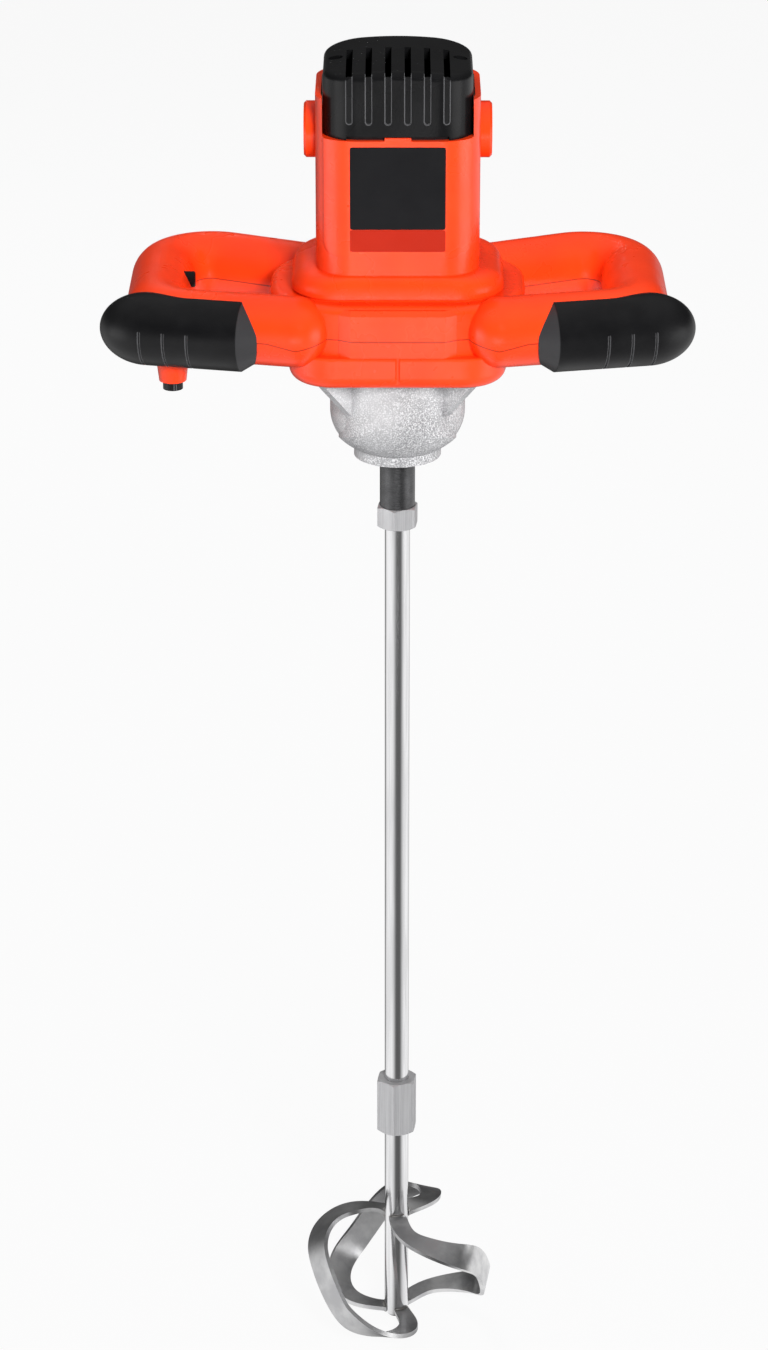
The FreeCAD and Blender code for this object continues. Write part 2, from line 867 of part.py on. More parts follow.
def make_gear_case():
    """The cast bowl: collar, front barrel, rear lobe over the countershaft, corner ribs and flange."""
    body = new_body("gear_case")
    over = S.cut_overrun
    turned(body, trace(
        sketch_on(body, "XZ_Plane"),
        [(0, 0), (S.collar_radius, 0), (S.collar_radius, S.collar_height), (S.neck_radius, S.collar_height),
         (S.bowl_radius, S.bowl_shoulder), (S.bowl_radius, skirt_floor), (0, skirt_floor)],
        {3: S.bowl_curve}))
    barrel = ring(flat(body, S.collar_height), 0, S.barrel_radius - S.barrel_reach, S.barrel_radius)
    pad(body, barrel, skirt_floor - S.collar_height)
    outside = S.barrel_reach + over
    turned(body, trace(
        sketch_on(body, "XZ_Plane"),
        [(S.barrel_foot_radius, S.collar_height), (S.barrel_reach, S.barrel_shoulder),
         (outside, S.barrel_shoulder), (outside, S.collar_height)],
        {0: S.barrel_curve}), cut=True)
    lobe = upper_chamber + S.case_wall
    lobe_foot = counter_bush_radius + S.case_wall
    lobe_level = bracket_floor - S.case_wall
    lobe_floor = counter_bush_floor - S.case_wall
    counter_axis = (centre_distance, 0, 0)
    turned(body, trace(
        sketch_on(body, "YZ_Plane", counter_axis),
        [(0, lobe_floor), (lobe_foot, lobe_floor), (lobe_foot, lobe_level - lobe + lobe_foot),
         (lobe, lobe_level), (lobe, skirt_floor), (0, skirt_floor)]))
    flange = rounded(flat(body, skirt_floor), S.flange_half, S.flange_half, S.flange_corner)
    pad(body, flange, S.flange_thickness)
    rib_tip = (S.flange_half - S.flange_corner) * math.sqrt(2) + S.flange_corner - S.rib_tip_inset
    rib = sketch_on(body, "XZ_Plane")
    rib.AttachmentOffset = FreeCAD.Placement(ORIGIN, FreeCAD.Rotation(BACK, 45))
    rib_root = lower_chamber + S.case_wall
    trace(rib, [(rib_root, S.rib_foot), (S.rib_foot_reach, S.rib_foot), (rib_tip, skirt_floor),
                (rib_root, skirt_floor)])
    rib_pad = pad(body, rib, S.rib_thickness)
    rib_pad.SideType = "Symmetric"
    around(body, [rib_pad], 4)
    race = S.spindle_bearing_outside / 2 + S.fit_gap
    turned(body, trace(
        sketch_on(body, "XZ_Plane"),
        [(0, -over), (S.seal_radius, -over), (S.seal_radius, bearing_floor), (race, bearing_floor),
         (race, bearing_top), (lower_chamber, bearing_top), (lower_chamber, bracket_floor),
         (main_chamber, bracket_floor), (main_chamber, case_top + over), (0, case_top + over)]), cut=True)
    bush = counter_bush_radius + S.fit_gap
    turned(body, trace(
        sketch_on(body, "YZ_Plane", counter_axis),
        [(0, counter_bush_floor), (bush, counter_bush_floor), (bush, output_floor),
         (pinion_chamber, output_floor), (pinion_chamber, bracket_floor), (upper_chamber, bracket_floor),
         (upper_chamber, case_top + over), (0, case_top + over)]), cut=True)
    case_screw_holes(body, skirt_floor - over, S.flange_thickness + 2 * over)


def make_gear_cover():
    """The plate that closes the case and carries the rotor's lower bearing and the countershaft's bush."""
    body = new_body("gear_cover")
    over = S.cut_overrun
    pad(body, rounded(flat(body, case_top), S.flange_half, S.flange_half, S.flange_corner), S.cover_thickness)
    race = S.rotor_bearing_outside / 2
    boss_height = cover_boss_top - cover_boss_floor
    pad(body, ring(flat(body, cover_boss_floor), 0, 0, race + S.case_wall), boss_height)
    bush = counter_bush_radius
    pad(body, ring(flat(body, cover_boss_floor), 0, centre_distance, bush + S.case_wall), boss_height)
    eye = race - S.bearing_shoulder
    turned(body, trace(
        sketch_on(body, "XZ_Plane"),
        [(0, cover_boss_floor - over), (eye, cover_boss_floor - over), (eye, rotor_bearing_floor),
         (race + S.fit_gap, rotor_bearing_floor), (race + S.fit_gap, cover_boss_top + over),
         (0, cover_boss_top + over)]), cut=True)
    seat = ring(flat(body, cover_boss_floor), 0, centre_distance, bush + S.fit_gap)
    pocket(body, seat, cover_top - cover_boss_floor, forwards=True)
    case_screw_holes(body, case_top - over, S.cover_thickness + 2 * over)


def make_spindle_bracket():
    """The inner plate that rests on the case's step and holds the spindle's upper bush."""
    body = new_body("spindle_bracket")
    height = S.spindle_bracket_thickness
    over = S.cut_overrun
    pad(body, ring(flat(body, bracket_floor), 0, 0, main_chamber - S.fit_gap), height)
    pad(body, ring(flat(body, bracket_floor), 0, centre_distance, upper_chamber - S.fit_gap), height)
    holes = ring(flat(body, bracket_floor - over), 0, 0, spindle_bush_radius + S.fit_gap)
    ring(holes, 0, centre_distance, pinion_chamber)
    pocket(body, holes, height + 2 * over, forwards=True)


def make_bearing(name, bore, outside, width, floor):
    """A ball bearing's two races; returns its balls."""
    middle = (bore + outside) / 4
    groove = (outside - bore) / 4 * BALL_SHARE
    level = floor + width / 2
    top = floor + width
    low = level - groove * GROOVE_HEIGHT_SHARE
    high = level + groove * GROOVE_HEIGHT_SHARE
    offset = groove * GROOVE_OFFSET_SHARE
    outer, inner = middle + offset, middle - offset
    lathe(f"{name}_outer", [(outside / 2, floor), (outside / 2, top), (outer, top), (outer, high),
                            (outer, low), (outer, floor)], {3: -groove})
    lathe(f"{name}_inner", [(bore / 2, top), (bore / 2, floor), (inner, floor), (inner, low),
                            (inner, high), (inner, top)], {3: -groove})
    ball = Part.makeSphere(groove - S.fit_gap)
    turns = [FULL_TURN * number / BALL_COUNT for number in range(BALL_COUNT)]
    return [placed(ball, middle * math.cos(turn), middle * math.sin(turn), level) for turn in turns]


def make_bearings():
    """The three ball bearings; their balls share one node."""
    balls = make_bearing("spindle_bearing", S.spindle_bearing_bore, S.spindle_bearing_outside,
                         S.spindle_bearing_width, bearing_floor)
    balls += make_bearing("rotor_lower_bearing", S.rotor_bearing_bore, S.rotor_bearing_outside,
                          S.rotor_bearing_width, rotor_bearing_floor)
    balls += make_bearing("rotor_upper_bearing", S.cap_bearing_bore, S.cap_bearing_outside,
                          S.cap_bearing_width, cap_bearing_floor)
    shaped("bearing_balls", Part.makeCompound(balls))


def make_bushes():
    """The bronze bushes and the oil seal."""
    journal = S.spindle_journal + S.run_gap / 2
    tube("spindle_bush", journal, spindle_bush_radius, bracket_floor, bracket_top)
    journal = S.countershaft_journal + S.run_gap / 2
    for name, floor, top in (("countershaft_lower_bush", counter_bush_floor, output_floor - S.run_gap),
                             ("countershaft_upper_bush", cover_boss_floor, cover_top)):
        body = new_body(name)
        turned(body, trace(sketch_on(body, "YZ_Plane", (centre_distance, 0, 0)),
                           [(journal, floor), (counter_bush_radius, floor), (counter_bush_radius, top),
                            (journal, top)]))
    lip = S.spindle_radius + S.run_gap
    rim = S.seal_radius - S.fit_gap
    wall = (rim - lip) / 3
    top = seal_floor + S.seal_width
    lathe("spindle_seal", [(lip, seal_floor), (rim, seal_floor), (rim, top), (rim - wall, top),
                           (rim - wall, seal_floor + wall), (lip + wall, seal_floor + wall),
                           (lip + wall, top), (lip, top)])


def make_spindle():
    """The output spindle with its threaded socket, and what is keyed to it."""
    bore = S.spindle_bearing_bore / 2
    seat = S.spindle_gear_seat
    clip_top = output_top + S.circlip_width
    clip_root = seat - S.circlip_groove
    seat_top = bracket_floor - S.run_gap
    end = bracket_top + S.run_gap
    socket_top = spindle_end + S.socket_depth
    body = lathe("spindle", [
        (0, socket_top), (S.socket_radius, socket_top), (S.socket_radius, spindle_end),
        (S.spindle_radius, spindle_end), (S.spindle_radius, bearing_floor), (bore, bearing_floor),
        (bore, output_floor), (seat, output_floor), (seat, output_top), (clip_root, output_top),
        (clip_root, clip_top), (seat, clip_top), (seat, seat_top), (S.spindle_journal, seat_top),
        (S.spindle_journal, end), (0, end)])
    half = S.key_width / 2
    low, high = seat - S.key_height / 2, seat + S.key_height / 2
    slot = oblong(flat(body, output_floor), (low - S.fit_gap, -half - S.fit_gap), (high, half + S.fit_gap))
    pocket(body, slot, S.output_gear_width, forwards=True)
    key = new_body("output_key")
    pad(key, oblong(flat(key, output_floor), (low, -half), (high, half)), S.output_gear_width)
    tube("spindle_circlip", clip_root + S.fit_gap, clip_root + S.circlip_rim, output_top, clip_top)
    turn = HALF_TURN / 2 + HALF_TURN / OUTPUT_TEETH
    wheel = gear_wheel(OUTPUT_TEETH, -SECOND_STAGE_SHIFT_SHARE, S.output_gear_width, turn, seat + S.fit_gap)
    keyway = block((0, -half - S.fit_gap, -S.cut_overrun),
                   (high + S.fit_gap, half + S.fit_gap, S.output_gear_width + S.cut_overrun))
    shaped("output_gear", wheel.cut(keyway), z=output_floor)


def make_countershaft():
    """The shaft between the two stages: a cut pinion below, and the wheel that the motor drives above."""
    journal = S.countershaft_journal
    core = counter_pinion_root - S.fit_gap
    low = counter_bush_floor + S.run_gap
    end = cover_top - S.run_gap
    step = output_top + S.run_gap
    outline = [(0, low), (journal, low), (journal, output_floor), (core, output_floor), (core, step),
               (S.idler_shoulder, step), (S.idler_shoulder, idler_floor), (S.idler_seat, idler_floor),
               (S.idler_seat, idler_top), (journal, idler_top), (journal, end), (0, end)]
    shaft = spun([Vector(radius, 0, height) for radius, height in outline])
    pinion = gear_blank(COUNTERSHAFT_PINION_TEETH, SECOND_STAGE_SHIFT_SHARE, S.output_gear_width,
                        -HALF_TURN / 2)
    shaft = shaft.fuse(placed(pinion, z=output_floor)).removeSplitter()
    shaped("countershaft", shaft, y=centre_distance)
    turn = -HALF_TURN / 2 + HALF_TURN / IDLER_TEETH
    wheel = gear_wheel(IDLER_TEETH, -FIRST_STAGE_SHIFT_SHARE, S.idler_width, turn, S.idler_seat + S.fit_gap)
    shaped("countershaft_gear", wheel, y=centre_distance, z=idler_floor)


def make_case_screws():
    """The four screws that hold case and cover to the hub, from below."""
    blank = screw(S.case_screw_head, S.case_screw_head_height, S.case_screw_radius, S.case_screw_length)
    screws = [placed(blank, x, y, skirt_floor) for x, y in screw_places()]
    shaped("case_screws", Part.makeCompound(screws))


# Mixing rod

def hex_piece(label, flats, floor, top, bore, recess=None):
    """A bored hexagon piece with bevelled corners."""
    body = new_body(label)
    over = S.cut_overrun
    pad(body, hexagon(flat(body, floor), flats), top - floor)
    corner = flats / math.sqrt(3)
    outside = corner + over
    inside = flats / 2
    drop = (corner - inside) / math.sqrt(3)
    for end, inwards in ((top, -drop), (floor, drop)):
        turned(body, trace(sketch_on(body, "XZ_Plane"),
                           [(inside, end), (outside, end), (outside, end + inwards * (outside - inside)
                                                            / (corner - inside))]), cut=True)
    pocket(body, ring(flat(body, floor), 0, 0, bore), top - floor, forwards=True)
    if recess:
        pocket(body, ring(flat(body, top), 0, 0, recess), S.coupling_recess)
    return body


def make_rods():
    """Lock nut, both rods and the coupling between them."""
    thread = S.rod_thread_radius
    rod = S.rod_radius
    hex_piece("lock_nut", S.nut_flats, nut_floor, spindle_end, S.socket_radius)
    hex_piece("rod_coupling", S.coupling_flats, coupling_floor, coupling_top, S.socket_radius,
              rod + S.fit_gap)
    middle = coupling_floor + S.coupling_length / 2
    head = spindle_end + S.socket_depth - S.coupling_gap
    seat = coupling_top - S.coupling_recess
    upper_end = middle + S.coupling_gap / 2
    lathe("upper_rod", [(0, upper_end), (thread, upper_end), (thread, seat), (rod, seat), (rod, nut_floor),
                        (thread, nut_floor), (thread, head), (0, head)])
    lower_head = middle - S.coupling_gap / 2
    bevel = S.rod_tip_chamfer
    lathe("lower_rod", [(0, rod_tip), (rod - bevel, rod_tip), (rod, rod_tip + bevel), (rod, coupling_floor),
                        (thread, coupling_floor), (thread, lower_head), (0, lower_head)])


def band_station(share, start):
    """One cross-section of a mixing band, which lies on a squared-off lantern round the rod.

    The meridian runs from the top pole to the bottom one, and the band winds round as it goes down.
    """
    def on_lantern(along):
        meridian = BAND_END_ANGLE + (HALF_TURN - 2 * BAND_END_ANGLE) * along
        reach = S.paddle_radius * math.sin(meridian) ** BAND_SQUARENESS_SHARE
        rise = math.copysign(abs(math.cos(meridian)) ** BAND_SQUARENESS_SHARE, math.cos(meridian))
        winding = start + BAND_SWEEP_ANGLE * along
        return polar(reach, winding) + UP * float(paddle_level + S.paddle_height / 2 * rise)

    step = 1 / (8 * BAND_STATIONS)
    here = on_lantern(share)
    ahead, behind = on_lantern(min(share + step, 1)), on_lantern(max(share - step, 0))
    along = (ahead - behind).normalize()
    spin = UP.cross(here - UP * here.z).normalize()
    meridian_line = (along - spin * along.dot(spin)).normalize()
    outward = spin.cross(meridian_line) * -1
    across = outward.cross(along).normalize()
    outward = along.cross(across)
    width = S.band_width * (BAND_ROOT_SHARE + (1 - BAND_ROOT_SHARE) * math.sin(HALF_TURN * share))
    side, face = across * float(width / 2), outward * float(S.band_thickness / 2)
    corners = [here - side - face, here + side - face, here + side + face, here - side + face]
    return Part.makePolygon([*corners, corners[0]])


def make_bands():
    """The three flat bands of the paddle, welded to the rod at both ends."""
    rod = upright(S.rod_radius, rod_tip - S.cut_overrun, coupling_floor)
    for number in range(BAND_COUNT):
        start = BAND_START_ANGLE + FULL_TURN * number / BAND_COUNT
        shares = [station / (BAND_STATIONS - 1) for station in range(BAND_STATIONS)]
        band = Part.makeLoft([band_station(share, start) for share in shares], True)
        outside = max(band.cut(rod).Solids, key=lambda solid: solid.Volume)
        shaped(f"mixing_band_{number + 1}", outside)


# Motor

box_inner_x = S.box_half_width - S.box_wall
box_inner_y = S.box_half_depth - S.box_wall
box_inner_corner = S.box_corner - S.box_wall
boss_end = S.box_half_width + S.brush_boss_proud
brush_cap_floor = boss_end - S.brush_cap_seat
stator_half_x = box_inner_x - S.stator_gap
stator_half_y = box_inner_y - S.stator_gap
coil_inner_half = stator_half_x * COIL_INNER_SHARE
coil_width = stator_half_x * COIL_WIDTH_SHARE
coil_y = stator_half_y * COIL_PLACE_SHARE
coil_depth = stator_half_y * COIL_DEPTH_SHARE
rotor_radius = stator_half_y * ROTOR_SHARE
winding_radius = rotor_radius * WINDING_SHARE
fan_chamber_radius = S.box_half_width - S.fan_chamber_inset
cap_half_width = S.box_half_width - S.ear_thickness - S.cap_side_gap
cap_half_depth = S.box_half_depth + S.cap_proud
cap_post_x = cap_half_width - S.cap_post_inset
cap_inner_x = cap_half_width - S.cap_wall
cap_inner_y = cap_half_depth - S.cap_wall
cap_inner_corner = S.cap_corner - S.cap_wall
cap_post_top = cap_seat + S.cap_post_height
cap_screw_seat = cap_top - S.cap_screw_recess


def corner_posts():
    """Places of the four posts under the bearing bracket."""
    reach = S.corner_post_reach / math.sqrt(2)
    x = S.box_half_width - S.box_corner + reach
    y = S.box_half_depth - S.box_corner + reach
    return [(-x, -y), (x, -y), (x, y), (-x, y)]


def motor_screw_places():
    """Places of the four screws that hold the motor to the hub."""
    out = S.box_half_width + S.motor_screw_out
    return [(x, y) for x in (-out, out) for y in (-S.motor_screw_y, S.motor_screw_y)]


def flare_outline(body, level, share, swell=0):
    """The flare's rounded outline at a height: share 1 is its rim, share 0 its top at the box."""
    half_x = S.box_half_width + S.flare_land + (S.flare_side - S.flare_land) * share + swell
    half_y = S.box_half_depth + S.flare_land + (S.flare_front - S.flare_land) * share + swell
    corner = S.box_corner + S.flare_land + (S.flare_corner - S.flare_land) * share + swell
    return rounded(flat(body, level), half_x, half_y, corner)


def make_motor_housing():
    """The moulded box on its flared flange, with brush bosses, ears and inner posts."""
    body = new_body("motor_housing")
    over = S.cut_overrun
    height = ear_top - hub_top
    pad(body, rounded(flat(body, hub_top), S.box_half_width, S.box_half_depth, S.box_corner), height)
    rim_floor = hub_top + S.rim_gap
    rim_top = rim_floor + S.rim_height
    pad(body, flare_outline(body, hub_top, 1, -S.rim_inset), S.rim_gap)
    pad(body, flare_outline(body, rim_floor, 1), S.rim_height)
    sections = []
    for share in FLARE_SHARES:
        sections.append(flare_outline(body, rim_top + S.flare_height * math.sqrt(1 - share * share), share))
    flare = body.newObject("PartDesign::AdditiveLoft", "Flare")
    flare.Profile = sections[0]
    flare.Sections = sections[1:]
    panel_corner = S.box_corner + S.front_panel_proud
    arc_x = S.box_half_width - S.box_corner
    arc_y = S.box_half_depth - S.box_corner
    panel_x = S.box_half_width - S.front_panel_inset
    reach = panel_x - arc_x
    panel_y = arc_y + root(panel_corner * panel_corner - reach * reach)
    panel_front = arc_y + panel_corner
    panel_floor = hub_top + S.front_panel_floor
    low_corner = S.front_panel_corner
    flat_x, corner_top = panel_x - low_corner, panel_floor + low_corner
    front = trace(sketch_on(body, "XZ_Plane"),
                  [(-panel_x, cap_seat), (-panel_x, corner_top), (-flat_x, panel_floor),
                   (flat_x, panel_floor), (panel_x, corner_top), (panel_x, cap_seat)],
                  {1: low_corner, 3: low_corner})
    pad(body, front, panel_front)
    for side in (-1, 1):
        edge_x, edge_y = (panel_x + over) * side, -panel_front - over
        outside = trace(flat(body, cap_seat),
                        [(arc_x * side, -panel_front), (panel_x * side, -panel_y), (edge_x, -panel_y),
                         (edge_x, edge_y), (arc_x * side, edge_y)], {0: panel_corner * side})
        pocket(body, outside, cap_seat - panel_floor)
    boss = ring(sketch_on(body, "YZ_Plane", (0, 0, boss_end)), 0, brush_level, S.brush_boss_radius)
    pad(body, boss, boss_end * 2, backwards=True)

    def at_boss_end(edge):
        box = edge.BoundBox
        return box.XLength < S.fit_gap and abs(abs(box.XMin) - boss_end) < S.fit_gap

    soften(body, S.brush_boss_edge, at_boss_end, chamfer=True)
    pocket(body, rounded(flat(body, hub_top - over), box_inner_x, box_inner_y, box_inner_corner),
           height + 2 * over, forwards=True)
    mouth_x = cap_half_width + S.cap_side_gap
    mouth_y = S.box_half_depth + S.front_panel_proud + over
    mouth = oblong(flat(body, cap_seat), (-mouth_x, -mouth_y), (mouth_x, mouth_y))
    pocket(body, mouth, height, forwards=True)
    sleeve_start = S.box_half_width - S.box_wall / 2
    sleeve = S.box_wall / 2 + S.brush_sleeve_reach
    for side, inwards in ((1, True), (-1, False)):
        sketch = ring(sketch_on(body, "YZ_Plane", (0, 0, sleeve_start * side)), 0, brush_level,
                      S.brush_sleeve_radius)
        pad(body, sketch, sleeve, backwards=inwards)
    posts = flat(body, cap_seat)
    for x, y in corner_posts():
        ring(posts, x, y, S.corner_post_radius)
    pad(body, posts, S.corner_post_height, backwards=True)
    post_floor = brush_level + (S.brush_tube_radius + S.brush_sleeve_radius) / 2
    cap_posts = flat(body, post_floor)
    for side in (-1, 1):
        ring(cap_posts, cap_post_x * side, 0, S.cap_post_radius)
    pad(body, cap_posts, cap_post_top - post_floor)
    tab_y = S.box_half_depth + S.front_panel_proud
    tab = oblong(flat(body, cap_seat), (-S.tab_half_width, -tab_y), (S.tab_half_width, -cap_inner_y))
    pad(body, tab, S.tab_height)
    bore = sketch_on(body, "YZ_Plane", (0, 0, boss_end + over))
    pocket(body, ring(bore, 0, brush_level, S.brush_tube_radius + S.fit_gap), (boss_end + over) * 2)
    pilots = flat(body, cap_seat)
    for x, y in corner_posts():
        ring(pilots, x, y, S.bracket_screw_radius + S.fit_gap)
    pocket(body, pilots, S.bracket_screw_length)
    cap_pilots = flat(body, cap_post_top)
    for side in (-1, 1):
        ring(cap_pilots, cap_post_x * side, 0, S.cap_screw_radius + S.fit_gap)
    pocket(body, cap_pilots, S.cap_screw_length - (cap_screw_seat - cap_post_top) + S.fit_gap)
    holes = flat(body, hub_top)
    for x, y in motor_screw_places():
        ring(holes, x, y, S.motor_screw_radius + S.fit_gap)
    pocket(body, holes, S.motor_screw_bite + S.fit_gap, forwards=True)


def make_field():
    """The laminated field core and its two windings."""
    body = new_body("stator_core")
    over = S.cut_overrun
    gap = S.stator_gap
    pad(body, rounded(flat(body, stator_floor), stator_half_x, stator_half_y, box_inner_corner - gap),
        S.stator_length)
    opening = ring(flat(body, stator_floor - over), 0, 0, rotor_radius + S.air_gap)
    near_x, far_x = coil_inner_half - gap, coil_inner_half + coil_width + gap
    near_y, far_y = coil_y - gap, coil_y + coil_depth + gap
    for low_x, high_x in ((-far_x, -near_x), (near_x, far_x)):
        for low_y, high_y in ((-far_y, -near_y), (near_y, far_y)):
            oblong(opening, (low_x, low_y), (high_x, high_y))
    pocket(body, opening, S.stator_length + 2 * over, forwards=True)
    inner_z = S.stator_length / 2 + S.coil_overhang
    middle = stator_floor + S.stator_length / 2
    frame = racetrack(coil_inner_half + coil_width, inner_z + coil_width, coil_depth, coil_width)
    winding = frame.cut(racetrack(coil_inner_half, inner_z, coil_depth, S.coil_overhang))
    coils = [placed(winding, y=y, z=middle) for y in (coil_y, -coil_y - coil_depth)]
    shaped("field_coils", Part.makeCompound(coils))


def racetrack(half_x, half_z, depth, corner):
    """A block that faces the front, with round corners."""
    box = block((-half_x, 0, -half_z), (half_x, depth, half_z))
    return box.makeFillet(corner, [edge for edge in box.Edges if edge.BoundBox.YLength > depth / 2])


def make_rotor():
    """The motor shaft with its cut pinion, and what is pressed on it."""
    root_core = rotor_pinion_root - S.fit_gap
    lower, upper = S.rotor_bearing_bore / 2, S.cap_bearing_bore / 2
    shoulder_top = rotor_bearing_top + S.shaft_shoulder_height
    step = stator_top + S.winding_overhang
    end = cap_bearing_top + S.bracket_rim
    outline = [(0, rotor_pinion_floor), (root_core, rotor_pinion_floor), (root_core, rotor_pinion_top),
               (lower, rotor_pinion_top), (lower, rotor_bearing_top), (S.shaft_shoulder, rotor_bearing_top),
               (S.shaft_shoulder, shoulder_top), (S.shaft_radius, shoulder_top), (S.shaft_radius, step),
               (S.shaft_upper_radius, step), (S.shaft_upper_radius, cap_bearing_floor),
               (upper, cap_bearing_floor), (upper, end), (0, end)]
    shaft = spun([Vector(radius, 0, height) for radius, height in outline])
    pinion = gear_blank(ROTOR_PINION_TEETH, FIRST_STAGE_SHIFT_SHARE, rotor_pinion_top - rotor_pinion_floor,
                        HALF_TURN / 2)
    shaped("rotor_shaft", shaft.fuse(placed(pinion, z=rotor_pinion_floor)).removeSplitter())
    over = S.cut_overrun
    seat = S.shaft_radius + S.fit_gap
    core = tube("rotor_core", seat, rotor_radius, stator_floor, stator_top)
    slot_floor = rotor_radius * (1 - ROTOR_SLOT_SHARE)
    half = S.rotor_slot_width / 2
    slot = oblong(flat(core, stator_floor - over), (slot_floor, -half), (rotor_radius + over, half))
    around(core, [pocket(core, slot, S.stator_length + 2 * over, forwards=True)], ROTOR_SLOTS)
    winding = new_body("rotor_windings")
    for floor, top in ((stator_top, step), (stator_floor - S.winding_overhang, stator_floor)):
        round_edge = S.winding_overhang * WINDING_ROUND_SHARE
        turned(winding, trace(sketch_on(winding, "XZ_Plane"),
                              [(S.winding_bore, floor), (winding_radius - round_edge, floor),
                               (winding_radius, floor + round_edge), (winding_radius, top - round_edge),
                               (winding_radius - round_edge, top), (S.winding_bore, top)],
                              {1: round_edge, 3: round_edge}))
        if floor is stator_top:
            wire = half - S.fit_gap
            bar = oblong(flat(winding, stator_floor), (slot_floor + S.fit_gap, -wire),
                         (winding_radius, wire))
            around(winding, [pad(winding, bar, S.stator_length)], ROTOR_SLOTS)
    bars = S.commutator_radius
    riser = bars + S.riser_proud
    riser_top = commutator_floor + S.riser_height
    commutator = lathe("commutator", [
        (S.shaft_upper_radius + S.fit_gap, commutator_floor), (riser, commutator_floor), (riser, riser_top),
        (bars, riser_top), (bars, commutator_top), (S.shaft_upper_radius + S.fit_gap, commutator_top)])
    groove = oblong(flat(commutator, riser_top), (bars - S.commutator_groove_depth, -S.commutator_groove / 2),
                    (bars + over, S.commutator_groove / 2))
    cut = pocket(commutator, groove, S.commutator_length - S.riser_height + over, forwards=True)
    around(commutator, [cut], COMMUTATOR_BARS)
    fan_radius = fan_chamber_radius - S.fan_side_gap
    plate_top = fan_floor + S.fan_plate
    fan = lathe("cooling_fan", [(seat, fan_floor), (fan_radius, fan_floor), (fan_radius, plate_top),
                                (S.fan_hub_radius, plate_top), (S.fan_hub_radius, fan_top), (seat, fan_top)])
    half_blade = S.fan_blade / 2
    blade = oblong(flat(fan, fan_floor), (S.fan_eye_radius, -half_blade), (fan_radius, half_blade))
    around(fan, [pad(fan, blade, S.fan_height)], FAN_BLADES)
    tube("fan_baffle", S.baffle_hole_radius, fan_chamber_radius - S.fit_gap,
         deck_floor - S.baffle_thickness, deck_floor)


def sideways(shape):
    """An upright shape laid along +X, and its mirror image, as one group."""
    laid = shape.copy()
    laid.rotate(ORIGIN, BACK, 90)
    laid.translate(UP * float(brush_level))
    return Part.makeCompound([laid, mirrored(laid)])


def make_brush_gear():
    """Brush guides, brushes, springs and slotted caps on both sides of the commutator."""
    guide = S.brush_tube_radius
    start = S.commutator_radius + S.brush_tube_clear
    inside = upright(guide - S.brush_tube_wall, start, brush_cap_floor)
    shaped("brush_tubes", sideways(upright(guide, start, brush_cap_floor).cut(inside)))
    face = S.commutator_radius + S.brush_air
    half_y, half_z = S.brush_width / 2, S.brush_height / 2
    brush_end = face + S.brush_length
    shaped("carbon_brushes", sideways(block((-half_z, -half_y, face), (half_z, half_y, brush_end))))
    spring = coil(S.brush_spring_radius, S.spring_wire, brush_cap_floor - brush_end)
    spring.translate(UP * float(brush_end))
    shaped("brush_springs", sideways(spring))
    cap = upright(guide, brush_cap_floor, boss_end)
    half_slot = S.brush_slot_width / 2
    slot = block((-half_slot, -guide, boss_end - S.brush_slot_depth),
                 (half_slot, guide, boss_end + S.cut_overrun))
    shaped("brush_caps", sideways(cap.cut(slot)))


def make_bearing_bracket():
    """The plate under the cap: bearing seat on a tall boss, slots for the brush gear and air windows."""
    body = new_body("bearing_bracket")
    over = S.cut_overrun
    inset = S.bracket_inset
    half_x, half_y = cap_inner_x - inset, cap_inner_y - inset
    pad(body, rounded(flat(body, cap_seat), half_x, half_y, cap_inner_corner - inset), S.bracket_plate)
    race = S.cap_bearing_outside / 2 + S.fit_gap
    boss_top = cap_bearing_top + S.bracket_rim
    pad(body, ring(flat(body, cap_seat), 0, 0, race + S.bracket_boss_wall), boss_top - cap_seat)
    eye = race - S.cap_bearing_shoulder
    clear = S.commutator_radius + S.commutator_clear
    turned(body, trace(
        sketch_on(body, "XZ_Plane"),
        [(0, cap_seat - over), (clear, cap_seat - over), (clear, cap_bearing_floor - S.bracket_lip),
         (eye, cap_bearing_floor - S.bracket_lip), (eye, cap_bearing_floor), (race, cap_bearing_floor),
         (race, boss_top + over), (0, boss_top + over)]), cut=True)
    slots = flat(body, cap_seat)
    half_slot = S.brush_sleeve_radius + S.run_gap
    for near, far in ((clear / 2, half_x + over), (-half_x - over, -clear / 2)):
        oblong(slots, (near, -half_slot), (far, half_slot))
    pocket(body, slots, S.bracket_plate, forwards=True)
    windows = flat(body, cap_seat - over)
    half_window = half_x * BRACKET_WINDOW_WIDTH_SHARE
    near, far = [half_y * share for share in BRACKET_WINDOW_SHARES]
    for low, high in ((-far, -near), (near, far)):
        oblong(windows, (-half_window, low), (half_window, high))
    for x, y in corner_posts():
        ring(windows, x, y, S.bracket_screw_radius + S.fit_gap)
    pocket(body, windows, S.bracket_plate + 2 * over, forwards=True)
    blank = flipped(screw(S.bracket_screw_head, S.bracket_screw_head_height, S.bracket_screw_radius,
                          S.bracket_screw_length + S.bracket_plate - S.fit_gap))
    screws = [placed(blank, x, y, cap_seat + S.bracket_plate) for x, y in corner_posts()]
    shaped("bracket_screws", Part.makeCompound(screws))


